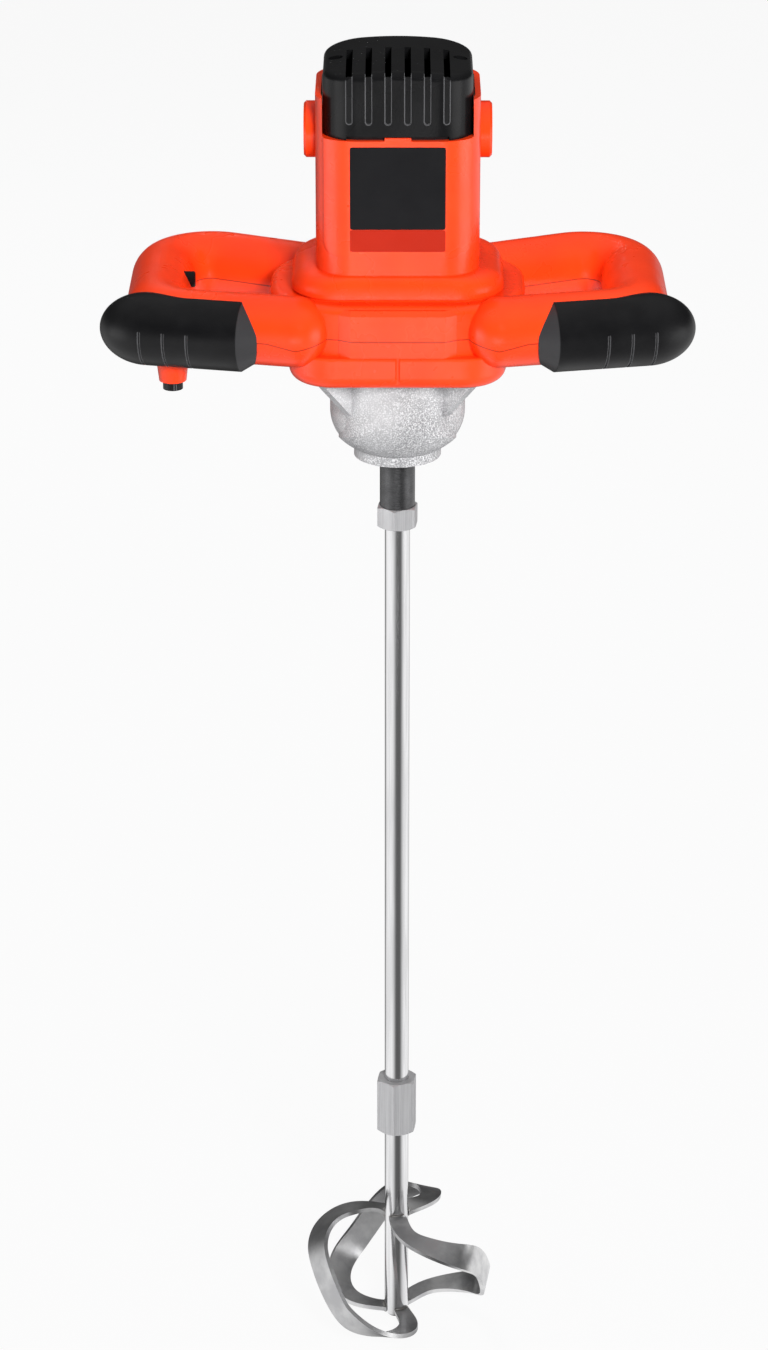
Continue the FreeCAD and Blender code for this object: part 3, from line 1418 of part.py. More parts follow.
def make_vent_cap():
    """The slotted cap: six vents on top that run over the edge into flutes down the front and back."""
    body = new_body("vent_cap")
    over = S.cut_overrun
    pad(body, rounded(flat(body, cap_seat), cap_half_width, cap_half_depth, S.cap_corner), S.cap_height)
    edge_x, crown_floor = cap_half_width + over, cap_top - S.cap_crown
    crown_radius = (edge_x * edge_x / S.cap_crown + S.cap_crown) / 2
    above = trace(sketch_on(body, "XZ_Plane", (0, 0, cap_half_depth + over)),
                  [(-edge_x, crown_floor), (edge_x, crown_floor), (edge_x, cap_top + over),
                   (-edge_x, cap_top + over)], {0: -crown_radius})
    pocket(body, above, (cap_half_depth + over) * 2)
    soften(body, S.cap_edge, lambda edge: edge.BoundBox.ZMin > crown_floor - S.fit_gap)
    inside = rounded(flat(body, cap_seat - over), cap_inner_x, cap_inner_y, cap_inner_corner)
    pocket(body, inside, S.cap_height - S.cap_crown - S.cap_wall + over, forwards=True)
    boss_floor = cap_post_top + S.run_gap
    bosses = flat(body, boss_floor)
    recesses, holes = flat(body, cap_top), flat(body, boss_floor - over)
    for side in (-1, 1):
        x = cap_post_x * side
        ring(bosses, x, 0, S.cap_recess_radius + S.cap_wall / 2)
        ring(recesses, x, 0, S.cap_recess_radius)
        ring(holes, x, 0, S.cap_screw_radius + S.fit_gap)
    pad(body, bosses, crown_floor - S.cap_wall / 2 - boss_floor)
    pocket(body, recesses, S.cap_screw_recess)
    pocket(body, holes, S.cap_height, forwards=True)
    arch = sketch_on(body, "YZ_Plane", (0, 0, cap_half_width + over))
    ring(arch, 0, brush_level, S.brush_sleeve_radius + S.run_gap)
    pocket(body, arch, (cap_half_width + over) * 2)
    pitch = cap_half_width * FLUTE_PITCH_SHARE
    columns = [pitch * (number - (FLUTE_COUNT - 1) / 2) for number in range(FLUTE_COUNT)]
    half = S.flute_width / 2
    front = -cap_half_depth
    vent_end = cap_half_depth - S.vent_rear
    vents, shallow = flat(body, cap_top + over), flat(body, cap_top + over)
    for x in columns:
        oblong(vents, (x - half, front + S.cap_wall), (x + half, vent_end))
        oblong(shallow, (x - half, front - over), (x + half, front + S.cap_wall))
    pocket(body, vents, S.cap_crown + S.cap_wall + 2 * over)
    pocket(body, shallow, S.vent_lip + over)
    low = cap_top - S.flute_drop
    for depth, inwards in ((cap_half_depth, False), (-cap_half_depth, True)):
        flutes = sketch_on(body, "XZ_Plane", (0, 0, depth))
        for x in columns:
            trace(flutes, [(x - half, cap_top + over), (x - half, low + half), (x, low),
                           (x + half, low + half), (x + half, cap_top + over)], {1: half, 2: half})
        pocket(body, flutes, S.flute_depth, forwards=inwards)
    notch = sketch_on(body, "XZ_Plane", (0, 0, cap_half_depth + over))
    oblong(notch, (-S.cap_notch_half, cap_seat - over), (S.cap_notch_half, cap_seat + S.cap_notch_height))
    pocket(body, notch, S.cap_wall + 2 * over)
    blank = flipped(screw(S.cap_screw_head, S.cap_screw_head_height, S.cap_screw_radius, S.cap_screw_length))
    screws = [placed(blank, cap_post_x * side, 0, cap_screw_seat) for side in (-1, 1)]
    shaped("vent_cap_screws", Part.makeCompound(screws))


# Handles

grip_floor = grip_level - S.arm_half_height
parting_level = grip_level - S.parting_drop
handle_screw_seat = grip_floor + S.handle_screw_recess
motor_screw_seat = hub_top + S.motor_screw_bite - S.motor_screw_length
switch_floor = grip_floor + S.switch_lift
trigger_pin_level = grip_floor + S.trigger_pin_rise
grip_inside = grip_floor + S.shell_wall
lock_level = grip_level + S.lock_rise
boss_floor = grip_level - S.boss_drop


def loop_corners():
    """Plan points of the left loop's centre line, from the hub's front round to its rear."""
    plan = [(S.arm_front_x, -S.arm_front_y), (S.grip_x, front_arm_y(S.grip_x)), (S.grip_x, S.grip_rear_y),
            (S.arm_root_x, S.arm_root_y)]
    return [Vector(x, y, grip_level) for x, y in plan]


def front_arm_y(x):
    """Where the swept-back centre line of the front arm is at a distance from the middle."""
    return -S.arm_front_y + (x - S.arm_front_x) * math.tan(ARM_SWEEP_ANGLE)


def bend(before, corner, after, radius):
    """The tangent arc at a corner: its two ends and its middle."""
    back, ahead = (before - corner).normalize(), (after - corner).normalize()
    half = back.getAngle(ahead) / 2
    reach = radius / math.tan(half)
    middle = (back + ahead).normalize() * (radius / math.sin(half) - radius)
    return corner + back * reach, corner + middle, corner + ahead * reach


def loop_bends():
    """The front and the rear bend of the left loop."""
    root, front, rear, end = loop_corners()
    return bend(root, front, rear, S.front_bend), bend(front, rear, end, S.rear_bend)


def handle_loop(inset):
    """The left loop as an oval bar with a round front end, drawn in by inset."""
    first, second = loop_bends()
    root, end = loop_corners()[0], loop_corners()[-1]
    path = Part.Wire([Part.makeLine(root, first[0]), Part.Arc(*first).toShape(),
                      Part.makeLine(first[2], second[0]), Part.Arc(*second).toShape(),
                      Part.makeLine(second[2], end)])
    high, deep = S.arm_half_height - inset, S.arm_half_depth - inset
    along = (first[0] - root).normalize()
    across = UP.cross(along)
    oval = Part.Ellipse(root + UP * float(high), root + across * float(deep), root)
    bar = path.makePipeShell([Part.Wire(oval.toShape())], True, False)
    half = Part.ArcOfEllipse(oval, 0, HALF_TURN).toShape()
    rim = Part.Wire([half, Part.makeLine(root - UP * float(high), root + UP * float(high))])
    return bar.fuse(Part.Face(rim).revolve(root, UP, 180))


def handle_screw_places():
    """Three screws on each side: front arm, rear bend and rear arm."""
    rear_bend = loop_bends()[1][1]
    slope = (S.grip_rear_y - S.arm_root_y) / (S.grip_x - S.arm_root_x)
    rear_y = S.arm_root_y + (S.rear_screw_x - S.arm_root_x) * slope
    places = [(S.front_screw_x, front_arm_y(S.front_screw_x)), (rear_bend.x, rear_bend.y),
              (S.rear_screw_x, rear_y)]
    return places + [(-x, y) for x, y in places]


def hub_body():
    """Skirt, hub with its round shoulder, and the raised front panel."""
    skirt_top = skirt_floor + S.skirt_height
    skirt = prism(S.skirt_half_width, S.skirt_half_depth, S.skirt_corner, skirt_floor, skirt_top)
    skirt = skirt.makeFillet(S.skirt_edge, level_edges(skirt, skirt_floor))
    skirt = skirt.makeFillet(S.skirt_ledge, level_edges(skirt, skirt_top))
    skirt = skirt.cut(upright(S.skirt_groove, skirt_floor - S.cut_overrun, skirt_top + S.cut_overrun,
                              0, -S.skirt_half_depth))
    hub = prism(S.hub_half_width, S.hub_half_depth, S.hub_corner, skirt_floor + S.hub_rise, hub_top)
    rims = level_edges(hub, hub_top) + level_edges(hub, skirt_floor + S.hub_rise)
    hub = hub.makeFillet(S.hub_edge, rims)
    wide, narrow = S.panel_half_width, S.panel_half_width - S.panel_bevel
    base_y = -S.hub_half_depth
    face_y, root_y = base_y - S.panel_proud, base_y + S.hub_edge
    floor = skirt_floor + S.panel_floor
    outline = [(-wide, root_y), (-wide, base_y), (-narrow, face_y), (narrow, face_y), (wide, base_y),
               (wide, root_y)]
    points = [Vector(x, y, floor) for x, y in outline]
    panel = Part.Face(Part.makePolygon([*points, points[0]])).extrude(UP * float(S.panel_height))
    rim = level_edges(panel, floor + S.panel_height)
    fronts = [edge for edge in rim if edge.BoundBox.YMax < base_y + S.fit_gap]
    return skirt.fuse([hub, panel.makeChamfer(S.panel_top_bevel, fronts)])


def hub_hollow():
    """What is taken out of the hub: case opening, fan chamber, deck hole, motor seat and screw bores."""
    over = S.cut_overrun
    gap = S.fit_gap
    half = S.flange_half + gap
    seat = prism(half, half, S.flange_corner + gap, skirt_floor - over, cover_top)
    rim = prism(S.box_half_width + S.flare_side + S.run_gap, S.box_half_depth + S.flare_front + S.run_gap,
                S.box_corner + S.flare_corner + S.run_gap, hub_top, ear_top)
    cuts = [rim, upright(fan_chamber_radius, cover_top, deck_floor),
            upright(fan_chamber_radius - S.deck_ledge, deck_floor, hub_top + over)]
    for x, y in motor_screw_places():
        cuts.append(upright(S.motor_screw_head + gap, cover_top, motor_screw_seat, x, y))
        cuts.append(upright(S.motor_screw_radius + gap, cover_top, hub_top + over, x, y))
    screw_end = skirt_floor + S.case_screw_length + gap
    for x, y in screw_places():
        cuts.append(upright(S.case_screw_radius + gap, cover_top, screw_end, x, y))
    return seat.fuse(cuts)


def grip_lathe(radius, start, end, y, z):
    """A level cylinder across the right-hand grip, between two distances from its middle."""
    return Part.makeCylinder(radius, end - start, Vector(start - S.grip_x, y, z), RIGHT)


def switch_ribs():
    """The four short ribs that the switch block rests on, clear of the trigger."""
    near = S.trigger_width / 2 + S.trigger_gap + S.run_gap
    reach = S.switch_length / 2
    ribs = []
    for side in (-1, 1):
        low, high = sorted((near * side - S.grip_x, S.arm_half_depth * side - S.grip_x))
        for edge in (S.switch_y - reach, S.switch_y + reach - S.switch_rib):
            ribs.append(block((low, edge, grip_floor), (high, edge + S.switch_rib, switch_floor)))
    return ribs


def cord_boss(gap):
    """The tapered boss for the cord under the right-hand loop's front bend, swollen by gap."""
    return Part.makeCone(S.boss_radius + gap, S.boss_top_radius + gap, grip_level - boss_floor,
                         Vector(-S.boss_x, -S.boss_y, boss_floor), UP)


def make_handle_shells():
    """The two moulded halves of hub and loops, split along a line that dips beside the hub."""
    over = S.cut_overrun
    loop, hollow = handle_loop(0), handle_loop(S.shell_wall)
    outer = hub_body().fuse([loop, mirrored(loop), cord_boss(0)])
    posts = [upright(S.post_radius, grip_floor, grip_level + S.arm_half_height, x, y)
             for x, y in handle_screw_places()]
    sleeve = grip_lathe(S.lock_sleeve, S.lock_seat + S.run_gap, S.arm_half_depth, S.lock_y, lock_level)
    inner = hollow.fuse(mirrored(hollow))
    kept = loop.fuse(mirrored(loop)).common(posts[0].fuse([*posts[1:], sleeve, *switch_ribs()]))
    shell = outer.cut(inner.fuse(hub_hollow())).fuse(kept)
    bores = []
    for x, y in handle_screw_places():
        bores.append(upright(S.handle_screw_head + S.fit_gap, grip_floor - over, handle_screw_seat, x, y))
        bores.append(upright(S.handle_screw_radius + S.fit_gap, grip_floor,
                             handle_screw_seat + S.handle_screw_length + S.fit_gap, x, y))
    slot_half = S.trigger_width / 2 + S.trigger_gap
    slot_low, slot_high = -slot_half - S.grip_x, slot_half - S.grip_x
    slot_front = -S.trigger_front_y - S.trigger_eye - S.trigger_gap
    slot_rear = -S.trigger_front_y + S.trigger_length + S.trigger_gap
    lip_top = grip_inside + S.trigger_lip_height
    bores.append(block((slot_low, slot_front, grip_floor - over), (slot_high, slot_rear, lip_top)))
    lip_end = slot_rear + S.trigger_lip
    bores.append(block((slot_low, slot_front, grip_inside), (slot_high, lip_end, lip_top)))
    half_pin = S.trigger_pin_length / 2 + S.fit_gap
    bores.append(grip_lathe(S.trigger_pin_radius + S.fit_gap, -half_pin, half_pin, -S.trigger_front_y,
                            trigger_pin_level))
    bores.append(grip_lathe(S.lock_radius + S.run_gap, 0, S.arm_half_depth + over, S.lock_y, lock_level))
    bores.append(upright(S.gland_radius + S.fit_gap, boss_floor - over, boss_floor + S.gland_seat,
                         -S.boss_x, -S.boss_y))
    bores.append(upright(S.wire_hole, boss_floor, grip_level - S.shell_wall, -S.boss_x, -S.boss_y))
    shell = shell.cut(bores[0].fuse(bores[1:]))
    lower_half = below_parting()
    shaped("handle_lower_shell", largest(shell.common(lower_half)).removeSplitter())
    shaped("handle_upper_shell", largest(shell.cut(lower_half)).removeSplitter())


def largest(shape):
    """The biggest solid of a shape."""
    return max(shape.Solids, key=lambda solid: solid.Volume)


def below_parting():
    """The space below the parting line, which dips in a shallow V at each side of the hub."""
    far = S.bumper_nose_x
    line = []
    for side in (-1, 1):
        middle = S.parting_dip_x * side
        outer, inner = middle + S.parting_dip_run * side, middle - S.parting_dip_run * side
        stretch = [(far * side, parting_level), (outer, parting_level),
                   (middle, parting_level - S.parting_dip), (inner, parting_level)]
        line += stretch if side < 0 else stretch[::-1]
    line += [(far, 0), (-far, 0)]
    points = [Vector(x, -far, z) for x, z in line]
    return Part.Face(Part.makePolygon([*points, points[0]])).extrude(BACK * float(far * 2))


def make_bumper(name, side):
    """A bullet-nosed rubber bumper over the front corner of a loop, with a conical inner end."""
    axis_y = -S.arm_front_y - S.bumper_forward
    axis_level = grip_level - S.bumper_drop
    axis_point = Vector(0, axis_y, axis_level)
    inner, nose, radius = S.bumper_inner_x, S.bumper_nose_x, S.bumper_radius
    far = axis_y - radius - S.cut_overrun
    start = nose - S.bumper_nose
    centre = axis_point + RIGHT * float(start)
    oval = Part.Ellipse(centre + RIGHT * float(S.bumper_nose), centre + UP * float(radius), centre)
    half = [(nose, 0), (inner, 0), (inner, radius - S.bumper_bevel_depth), (inner + S.bumper_bevel, radius),
            (start, radius)]
    corners = [axis_point + RIGHT * float(x) + UP * float(height) for x, height in half]
    outline = Part.Wire([Part.makePolygon(corners), Part.ArcOfEllipse(oval, 0, HALF_TURN / 2).toShape()])
    bullet = Part.Face(outline).revolve(axis_point, RIGHT, 360)
    for number in range(BUMPER_GROOVES):
        x = S.bumper_groove_x + S.bumper_groove_pitch * number - S.bumper_groove / 2
        base = axis_point + RIGHT * float(x)
        disc = Part.makeCylinder(radius + S.cut_overrun, S.bumper_groove, base, RIGHT)
        core = Part.makeCylinder(radius - S.bumper_groove_depth, S.bumper_groove, base, RIGHT)
        low = block((x, far, axis_level - radius - S.cut_overrun),
                    (x + S.bumper_groove, axis_y + radius, axis_level + S.bumper_groove_rise))
        bullet = bullet.cut(disc.cut(core).common(low))
    full = inner + S.bumper_bevel
    tip = Vector(full, far, axis_level)
    round_end = Part.Ellipse(tip + UP * float(radius), tip + RIGHT * float(S.bumper_bevel), tip)
    tongue = Part.Face(Part.Wire(round_end.toShape())).extrude(BACK * float(2 * radius + S.cut_overrun))
    rest = block((full, far, axis_level - radius), (nose, axis_y + radius, axis_level + radius))
    plan = [(inner, far), (nose, far), (nose, -S.arm_front_y + S.bumper_rear_outer),
            (inner, -S.arm_front_y + S.bumper_rear_inner)]
    points = [Vector(x, y, axis_level - radius) for x, y in plan]
    front = Part.Face(Part.makePolygon([*points, points[0]])).extrude(UP * float(radius * 2))
    bumper = bullet.common(tongue.fuse(rest)).common(front)
    bumper.rotate(Vector(S.arm_front_x, -S.arm_front_y, grip_level), UP, math.degrees(ARM_SWEEP_ANGLE))
    bumper = bumper.cut(handle_loop(-S.fit_gap))
    if side < 0:
        bumper = mirrored(bumper).cut(cord_boss(S.fit_gap))
    shaped(name, largest(bumper))


def make_handle_screws():
    """Screws of the handle halves and of the motor flange."""
    blank = screw(S.handle_screw_head, S.handle_screw_head_height, S.handle_screw_radius,
                  S.handle_screw_length)
    screws = [placed(blank, x, y, handle_screw_seat) for x, y in handle_screw_places()]
    shaped("handle_screws", Part.makeCompound(screws))
    blank = screw(S.motor_screw_head, S.motor_screw_head_height, S.motor_screw_radius, S.motor_screw_length)
    screws = [placed(blank, x, y, motor_screw_seat) for x, y in motor_screw_places()]
    shaped("motor_screws", Part.makeCompound(screws))


def make_switch_gear():
    """Trigger, hinge pin, return spring, switch block, lock button and cord gland of the right-hand grip."""
    front, width = -S.trigger_front_y, S.trigger_width
    eye, pin = S.trigger_eye, trigger_pin_level
    rear = front + S.trigger_length
    top = grip_inside + S.trigger_lip_height
    rest = grip_inside + S.run_gap
    low = grip_floor - S.trigger_drop
    trigger = new_body("trigger")
    profile = sketch_on(trigger, "YZ_Plane", (0, 0, -S.grip_x - width / 2))
    trace(profile, [(front - eye, pin), (front - eye, grip_floor), (front + eye, low),
                    (rear - S.trigger_draft, low), (rear, rest), (rear + S.trigger_lip, rest),
                    (rear + S.trigger_lip, top), (front + eye * 2, top), (front + eye, pin),
                    (front, pin + eye)],
          {2: -S.trigger_curve, 8: eye, 9: eye})
    pad(trigger, profile, width)
    soften(trigger, S.trigger_edge, lambda edge: edge.BoundBox.ZMax < grip_floor - S.fit_gap)
    bore = sketch_on(trigger, "YZ_Plane", (0, 0, -S.grip_x - width))
    pocket(trigger, ring(bore, front, pin, S.trigger_pin_radius + S.run_gap / 2), width * 2, forwards=True)
    half_pin = S.trigger_pin_length / 2
    pin_body = new_body("trigger_pin")
    pin_end = sketch_on(pin_body, "YZ_Plane", (0, 0, -S.grip_x - half_pin))
    pad(pin_body, ring(pin_end, front, pin, S.trigger_pin_radius), S.trigger_pin_length)
    spring = coil(S.spring_radius, S.spring_wire, switch_floor - top)
    shaped("trigger_spring", Part.makeCompound([placed(spring, -S.grip_x, S.switch_y, top)]))
    switch = new_body("switch_body")
    half = S.switch_width / 2
    low_y, high_y = S.switch_y - S.switch_length / 2, S.switch_y + S.switch_length / 2
    pad(switch, oblong(flat(switch, switch_floor), (-S.grip_x - half, low_y), (-S.grip_x + half, high_y)),
        S.switch_height)
    lock = new_body("lock_button")
    seat, tip = S.lock_seat, S.arm_half_depth + S.lock_proud / 2
    inner = seat - S.lock_flange_width
    section = sketch_on(lock, "XY_Plane", (-S.grip_x, S.lock_y, lock_level))
    trace(section, [(inner, 0), (tip, 0), (tip, S.lock_radius - S.lock_dome),
                    (tip - S.lock_dome, S.lock_radius), (seat, S.lock_radius), (seat, S.lock_flange),
                    (inner, S.lock_flange)], {2: S.lock_dome})
    turned(lock, section, axis="H_Axis")
    gland = new_body("cord_gland")
    profile = sketch_on(gland, "XZ_Plane", (-S.boss_x, 0, S.boss_y))
    end = boss_floor - S.gland_drop
    trace(profile, [(S.gland_bore, end), (S.gland_flange, end), (S.gland_flange, boss_floor),
                    (S.gland_radius, boss_floor), (S.gland_radius, boss_floor + S.gland_seat),
                    (S.gland_bore, boss_floor + S.gland_seat)])
    turned(gland, profile)


# The whole drill

make_gear_case()
make_gear_cover()
make_spindle_bracket()
make_bearings()
make_bushes()
make_spindle()
make_countershaft()
make_case_screws()
make_rods()
make_bands()
make_motor_housing()
make_field()
make_rotor()
make_brush_gear()
make_bearing_bracket()
make_vent_cap()
make_handle_shells()
make_bumper("bumper_left", 1)
make_bumper("bumper_right", -1)
make_handle_screws()
make_switch_gear()
doc.recompute()

faults = [item.Label for item in doc.Objects if "Invalid" in item.State or "Error" in item.State]
faults += [node.Label for node in nodes if node.Shape.isNull() or not node.Shape.isValid()]
if faults:
    raise RuntimeError("faulty pieces: " + ", ".join(sorted(set(faults))))

os.makedirs("parts", exist_ok=True)
for node in nodes:
    node.Shape.exportStep(os.path.join("parts", node.Label + ".step"))
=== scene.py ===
import json
import math
import bmesh
import bpy
import numpy as np
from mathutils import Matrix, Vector


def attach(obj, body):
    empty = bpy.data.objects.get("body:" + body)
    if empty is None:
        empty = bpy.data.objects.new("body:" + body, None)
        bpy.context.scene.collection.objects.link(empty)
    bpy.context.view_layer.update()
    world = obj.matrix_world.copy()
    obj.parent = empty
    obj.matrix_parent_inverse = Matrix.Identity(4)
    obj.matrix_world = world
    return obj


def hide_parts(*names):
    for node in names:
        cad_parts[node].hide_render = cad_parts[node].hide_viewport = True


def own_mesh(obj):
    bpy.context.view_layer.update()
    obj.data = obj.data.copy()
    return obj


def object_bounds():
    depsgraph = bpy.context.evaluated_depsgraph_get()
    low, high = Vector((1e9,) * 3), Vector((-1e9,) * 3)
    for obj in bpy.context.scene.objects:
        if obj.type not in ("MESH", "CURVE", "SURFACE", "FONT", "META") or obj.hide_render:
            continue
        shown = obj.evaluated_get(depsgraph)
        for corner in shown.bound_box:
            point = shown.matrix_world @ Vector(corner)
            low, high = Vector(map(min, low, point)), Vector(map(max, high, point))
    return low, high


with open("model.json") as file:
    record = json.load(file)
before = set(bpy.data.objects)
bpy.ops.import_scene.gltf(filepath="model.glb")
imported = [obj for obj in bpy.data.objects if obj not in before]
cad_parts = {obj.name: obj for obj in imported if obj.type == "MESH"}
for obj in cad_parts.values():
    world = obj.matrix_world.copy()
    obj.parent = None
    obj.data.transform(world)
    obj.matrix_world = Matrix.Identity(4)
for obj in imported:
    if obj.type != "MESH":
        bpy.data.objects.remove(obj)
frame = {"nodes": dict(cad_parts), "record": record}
cad_low, cad_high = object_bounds()
nodes = frame["nodes"]
slots = {entry["node"]: entry["material_slot"] for entry in frame["record"]["subparts"]}

# Metres in a millimetre
MM = 0.001


# Shader helpers

# What a ramp runs between where it grows with its value, and where it falls
RISING, FALLING = (0.0, 1.0), (1.0, 0.0)
# Places of the colour sockets among all the sockets of a Mix node
MIX_SHARE, MIX_FIRST, MIX_SECOND, MIX_RESULT = 0, 6, 7, 2


class Graph:
    """Adds and joins the nodes of one material or node group."""

    def __init__(self, tree):
        self.tree = tree

    def feed(self, socket, value):
        """Join an output to a socket, or set the socket's own value."""
        if isinstance(value, bpy.types.NodeSocket):
            self.tree.links.new(value, socket)
        else:
            socket.default_value = value

    def add(self, kind, **inputs):
        """A node with its inputs, each of them a value or another node's output."""
        node = self.tree.nodes.new(kind)
        for name, value in inputs.items():
            self.feed(node.inputs[name], value)
        return node

    def use(self, tree, **inputs):
        """Place a shared node group, and give its outputs."""
        node = self.tree.nodes.new("ShaderNodeGroup")
        node.node_tree = tree
        for name, value in inputs.items():
            self.feed(node.inputs[name], value)
        return node.outputs

    def calc(self, operation, *values):
        """The result of a Math node."""
        node = self.tree.nodes.new("ShaderNodeMath")
        node.operation = operation
        for socket, value in zip(node.inputs, values):
            self.feed(socket, value)
        return node.outputs[0]

    def product(self, first, *others):
        """The product of several values."""
        for value in others:
            first = self.calc("MULTIPLY", first, value)
        return first

    def apart(self, first, second):
        """How far two values are apart."""
        return self.calc("ABSOLUTE", self.calc("SUBTRACT", first, second))

    def excess(self, first, second):
        """How far the first value is above the second, or zero."""
        return self.calc("MAXIMUM", self.calc("SUBTRACT", first, second), 0.0)

    def length(self, x, y):
        """The length sqrt(x^2 + y^2)."""
        return self.calc("SQRT", self.calc("MULTIPLY_ADD", x, x, self.product(y, y)))

    def along(self, x, y, bearing, start=0.0):
        """The place start + x cos(bearing) + y sin(bearing) along a level line."""
        rest = self.calc("MULTIPLY_ADD", y, math.sin(bearing), start)
        return self.calc("MULTIPLY_ADD", x, math.cos(bearing), rest)

    def ramp(self, value, span, ends=RISING):
        """Carry a value smoothly from a span to the ends, and hold it beyond them."""
        node = self.tree.nodes.new("ShaderNodeMapRange")
        node.interpolation_type = "SMOOTHSTEP"
        for socket, entry in zip(node.inputs, (value, *span, *ends)):
            self.feed(socket, entry)
        return node.outputs[0]

    def blend(self, share, first, second):
        """A colour between two, by share."""
        node = self.tree.nodes.new("ShaderNodeMix")
        node.data_type = "RGBA"
        self.feed(node.inputs[MIX_SHARE], share)
        self.feed(node.inputs[MIX_FIRST], first)
        self.feed(node.inputs[MIX_SECOND], second)
        return node.outputs[MIX_RESULT]

    def noise(self, vector, scale, detail=2.0, roughness=0.5):
        """The value of a noise at a scale in features per metre."""
        node = self.add("ShaderNodeTexNoise", Vector=vector, Scale=scale, Detail=detail,
                        Roughness=roughness)
        return node.outputs[0]

    def place(self):
        """The point on the piece, in the part's own frame in metres."""
        return self.add("ShaderNodeTexCoord").outputs["Object"]

    def stretched(self, vector, factors):
        """The point with its axes stretched."""
        return self.add("ShaderNodeMapping", Vector=vector, Scale=factors).outputs[0]

    def split(self, vector):
        """The three coordinates of a point."""
        return self.add("ShaderNodeSeparateXYZ", Vector=vector).outputs


# Shared node groups

FLOAT, COLOUR, POINT = "NodeSocketFloat", "NodeSocketColor", "NodeSocketVector"

# The broad noise of a grain, as shares of the fine one's scale and of the whole height
BROAD_SCALE, BROAD_HEIGHT = 0.02, 0.2
# The values of a noise between which wear and colours change
WEAR_SPAN, MOTTLE_SPAN = (0.35, 0.7), (0.35, 0.65)
# Stretch of the lines and of the broad streaks along the rod, and the streaks' scale
LINE_STRETCH, STREAK_STRETCH, STREAK_SCALE = (1, 1, 0.012), (1, 1, 0.05), 260.0
# Stretch that turns noise into level rings
RING_STRETCH = (20, 20, 2600)


def group(name, inputs, outputs):
    """A node group with named sockets: its tree and graph, what it is given and what it makes."""
    tree = bpy.data.node_groups.new(name, "ShaderNodeTree")
    for label, kind in inputs.items():
        tree.interface.new_socket(label, in_out="INPUT", socket_type=kind)
    for label, kind in outputs.items():
        tree.interface.new_socket(label, in_out="OUTPUT", socket_type=kind)
    graph = Graph(tree)
    given, made = graph.add("NodeGroupInput").outputs, graph.add("NodeGroupOutput").inputs
    return tree, graph, given, made


def moulded_grain():
    """Fine spark-eroded texture of a mould: two sizes of noise, as a height and as wear."""
    tree, graph, given, made = group(
        "moulded_grain", {"Point": POINT, "Scale": FLOAT}, {"Height": FLOAT, "Wear": FLOAT})
    fine = graph.noise(given["Point"], given["Scale"], roughness=0.55)
    broad_scale = graph.product(given["Scale"], BROAD_SCALE)
    broad = graph.noise(given["Point"], broad_scale, detail=3.0, roughness=0.6)
    height = graph.calc("MULTIPLY_ADD", fine, 1 - BROAD_HEIGHT, graph.product(broad, BROAD_HEIGHT))
    graph.feed(made["Height"], height)
    graph.feed(made["Wear"], graph.ramp(broad, WEAR_SPAN))
    return tree


def mottle():
    """Slow change between two close colours, as in moulded or cast material."""
    tree, graph, given, made = group(
        "mottle", {"Point": POINT, "First": COLOUR, "Second": COLOUR, "Scale": FLOAT},
        {"Color": COLOUR})
    cloud = graph.noise(given["Point"], given["Scale"], detail=4.0, roughness=0.6)
    share = graph.ramp(cloud, MOTTLE_SPAN)
    graph.feed(made["Color"], graph.blend(share, given["First"], given["Second"]))
    return tree


def drawn_streaks():
    """Long fine lines along the rod and broader streaks, from noise that is stretched along Z."""
    tree, graph, given, made = group(
        "drawn_streaks", {"Point": POINT, "Scale": FLOAT}, {"Height": FLOAT, "Shade": FLOAT})
    line_point = graph.stretched(given["Point"], LINE_STRETCH)
    broad = graph.noise(graph.stretched(given["Point"], STREAK_STRETCH), STREAK_SCALE)
    graph.feed(made["Height"], graph.noise(line_point, given["Scale"], detail=3.0, roughness=0.6))
    graph.feed(made["Shade"], graph.ramp(broad, MOTTLE_SPAN))
    return tree


def turned_rings():
    """Fine level rings that a lathe leaves, from noise squeezed along Z."""
    tree, graph, given, made = group("turned_rings", {"Point": POINT}, {"Height": FLOAT})
    level = graph.stretched(given["Point"], RING_STRETCH)
    graph.feed(made["Height"], graph.noise(level, 1.0))
    return tree


GRAIN, MOTTLE, STREAKS, RINGS = moulded_grain(), mottle(), drawn_streaks(), turned_rings()


# Lines and painted highlights on edges, as masks over the point on the piece, in metres

# The handle halves' parting: its level, and the place, half width and depth of its V
PARTING_LEVEL = 0.095
DIP_PLACE, DIP_HALF, DIP_DEPTH = 0.062, 0.018, 0.004
# The cap's flutes: the first middle, the pitch, the half width and where the round foot begins
FLUTE_FIRST, FLUTE_PITCH, FLUTE_HALF, FLUTE_FOOT = 0.005905, 0.01181, 0.0019, 0.2279
# Over these spans the flutes' edges begin in |y|, at the cap's face, and end in |x|
FLUTE_FACE, FLUTE_SIDE = (0.044, 0.0445), (0.0322, 0.0326)
# The bumpers' grooves, along the arm: the first middle, the pitch and the half width
GROOVE_FIRST, GROOVE_PITCH, GROOVE_HALF = 0.1245, 0.015, 0.00065
# Over these spans the grooves end, aside from the middle one and upwards
GROOVE_SIDE, GROOVE_HEAD = (0.017, 0.018), (0.0995, 0.0999)
# Over this span along the arm the bevel of a bumper's inner end turns into its round, and the
# share of painted sheen on the bevel
BEVEL_SPAN, BEVEL_SHEEN = (0.0932, 0.094), 0.35
# The front arms turn back about this place in X and Y, by this angle
ARM_X, ARM_Y, ARM_SWEEP = 0.062, -0.052, math.radians(12)
# From the middle of each kind of line, the distances over which it fades
PARTING_FADE, FLUTE_FADE, GROOVE_FADE = (0.00015, 0.0006), (0.0001, 0.00045), (0.0001, 0.0004)


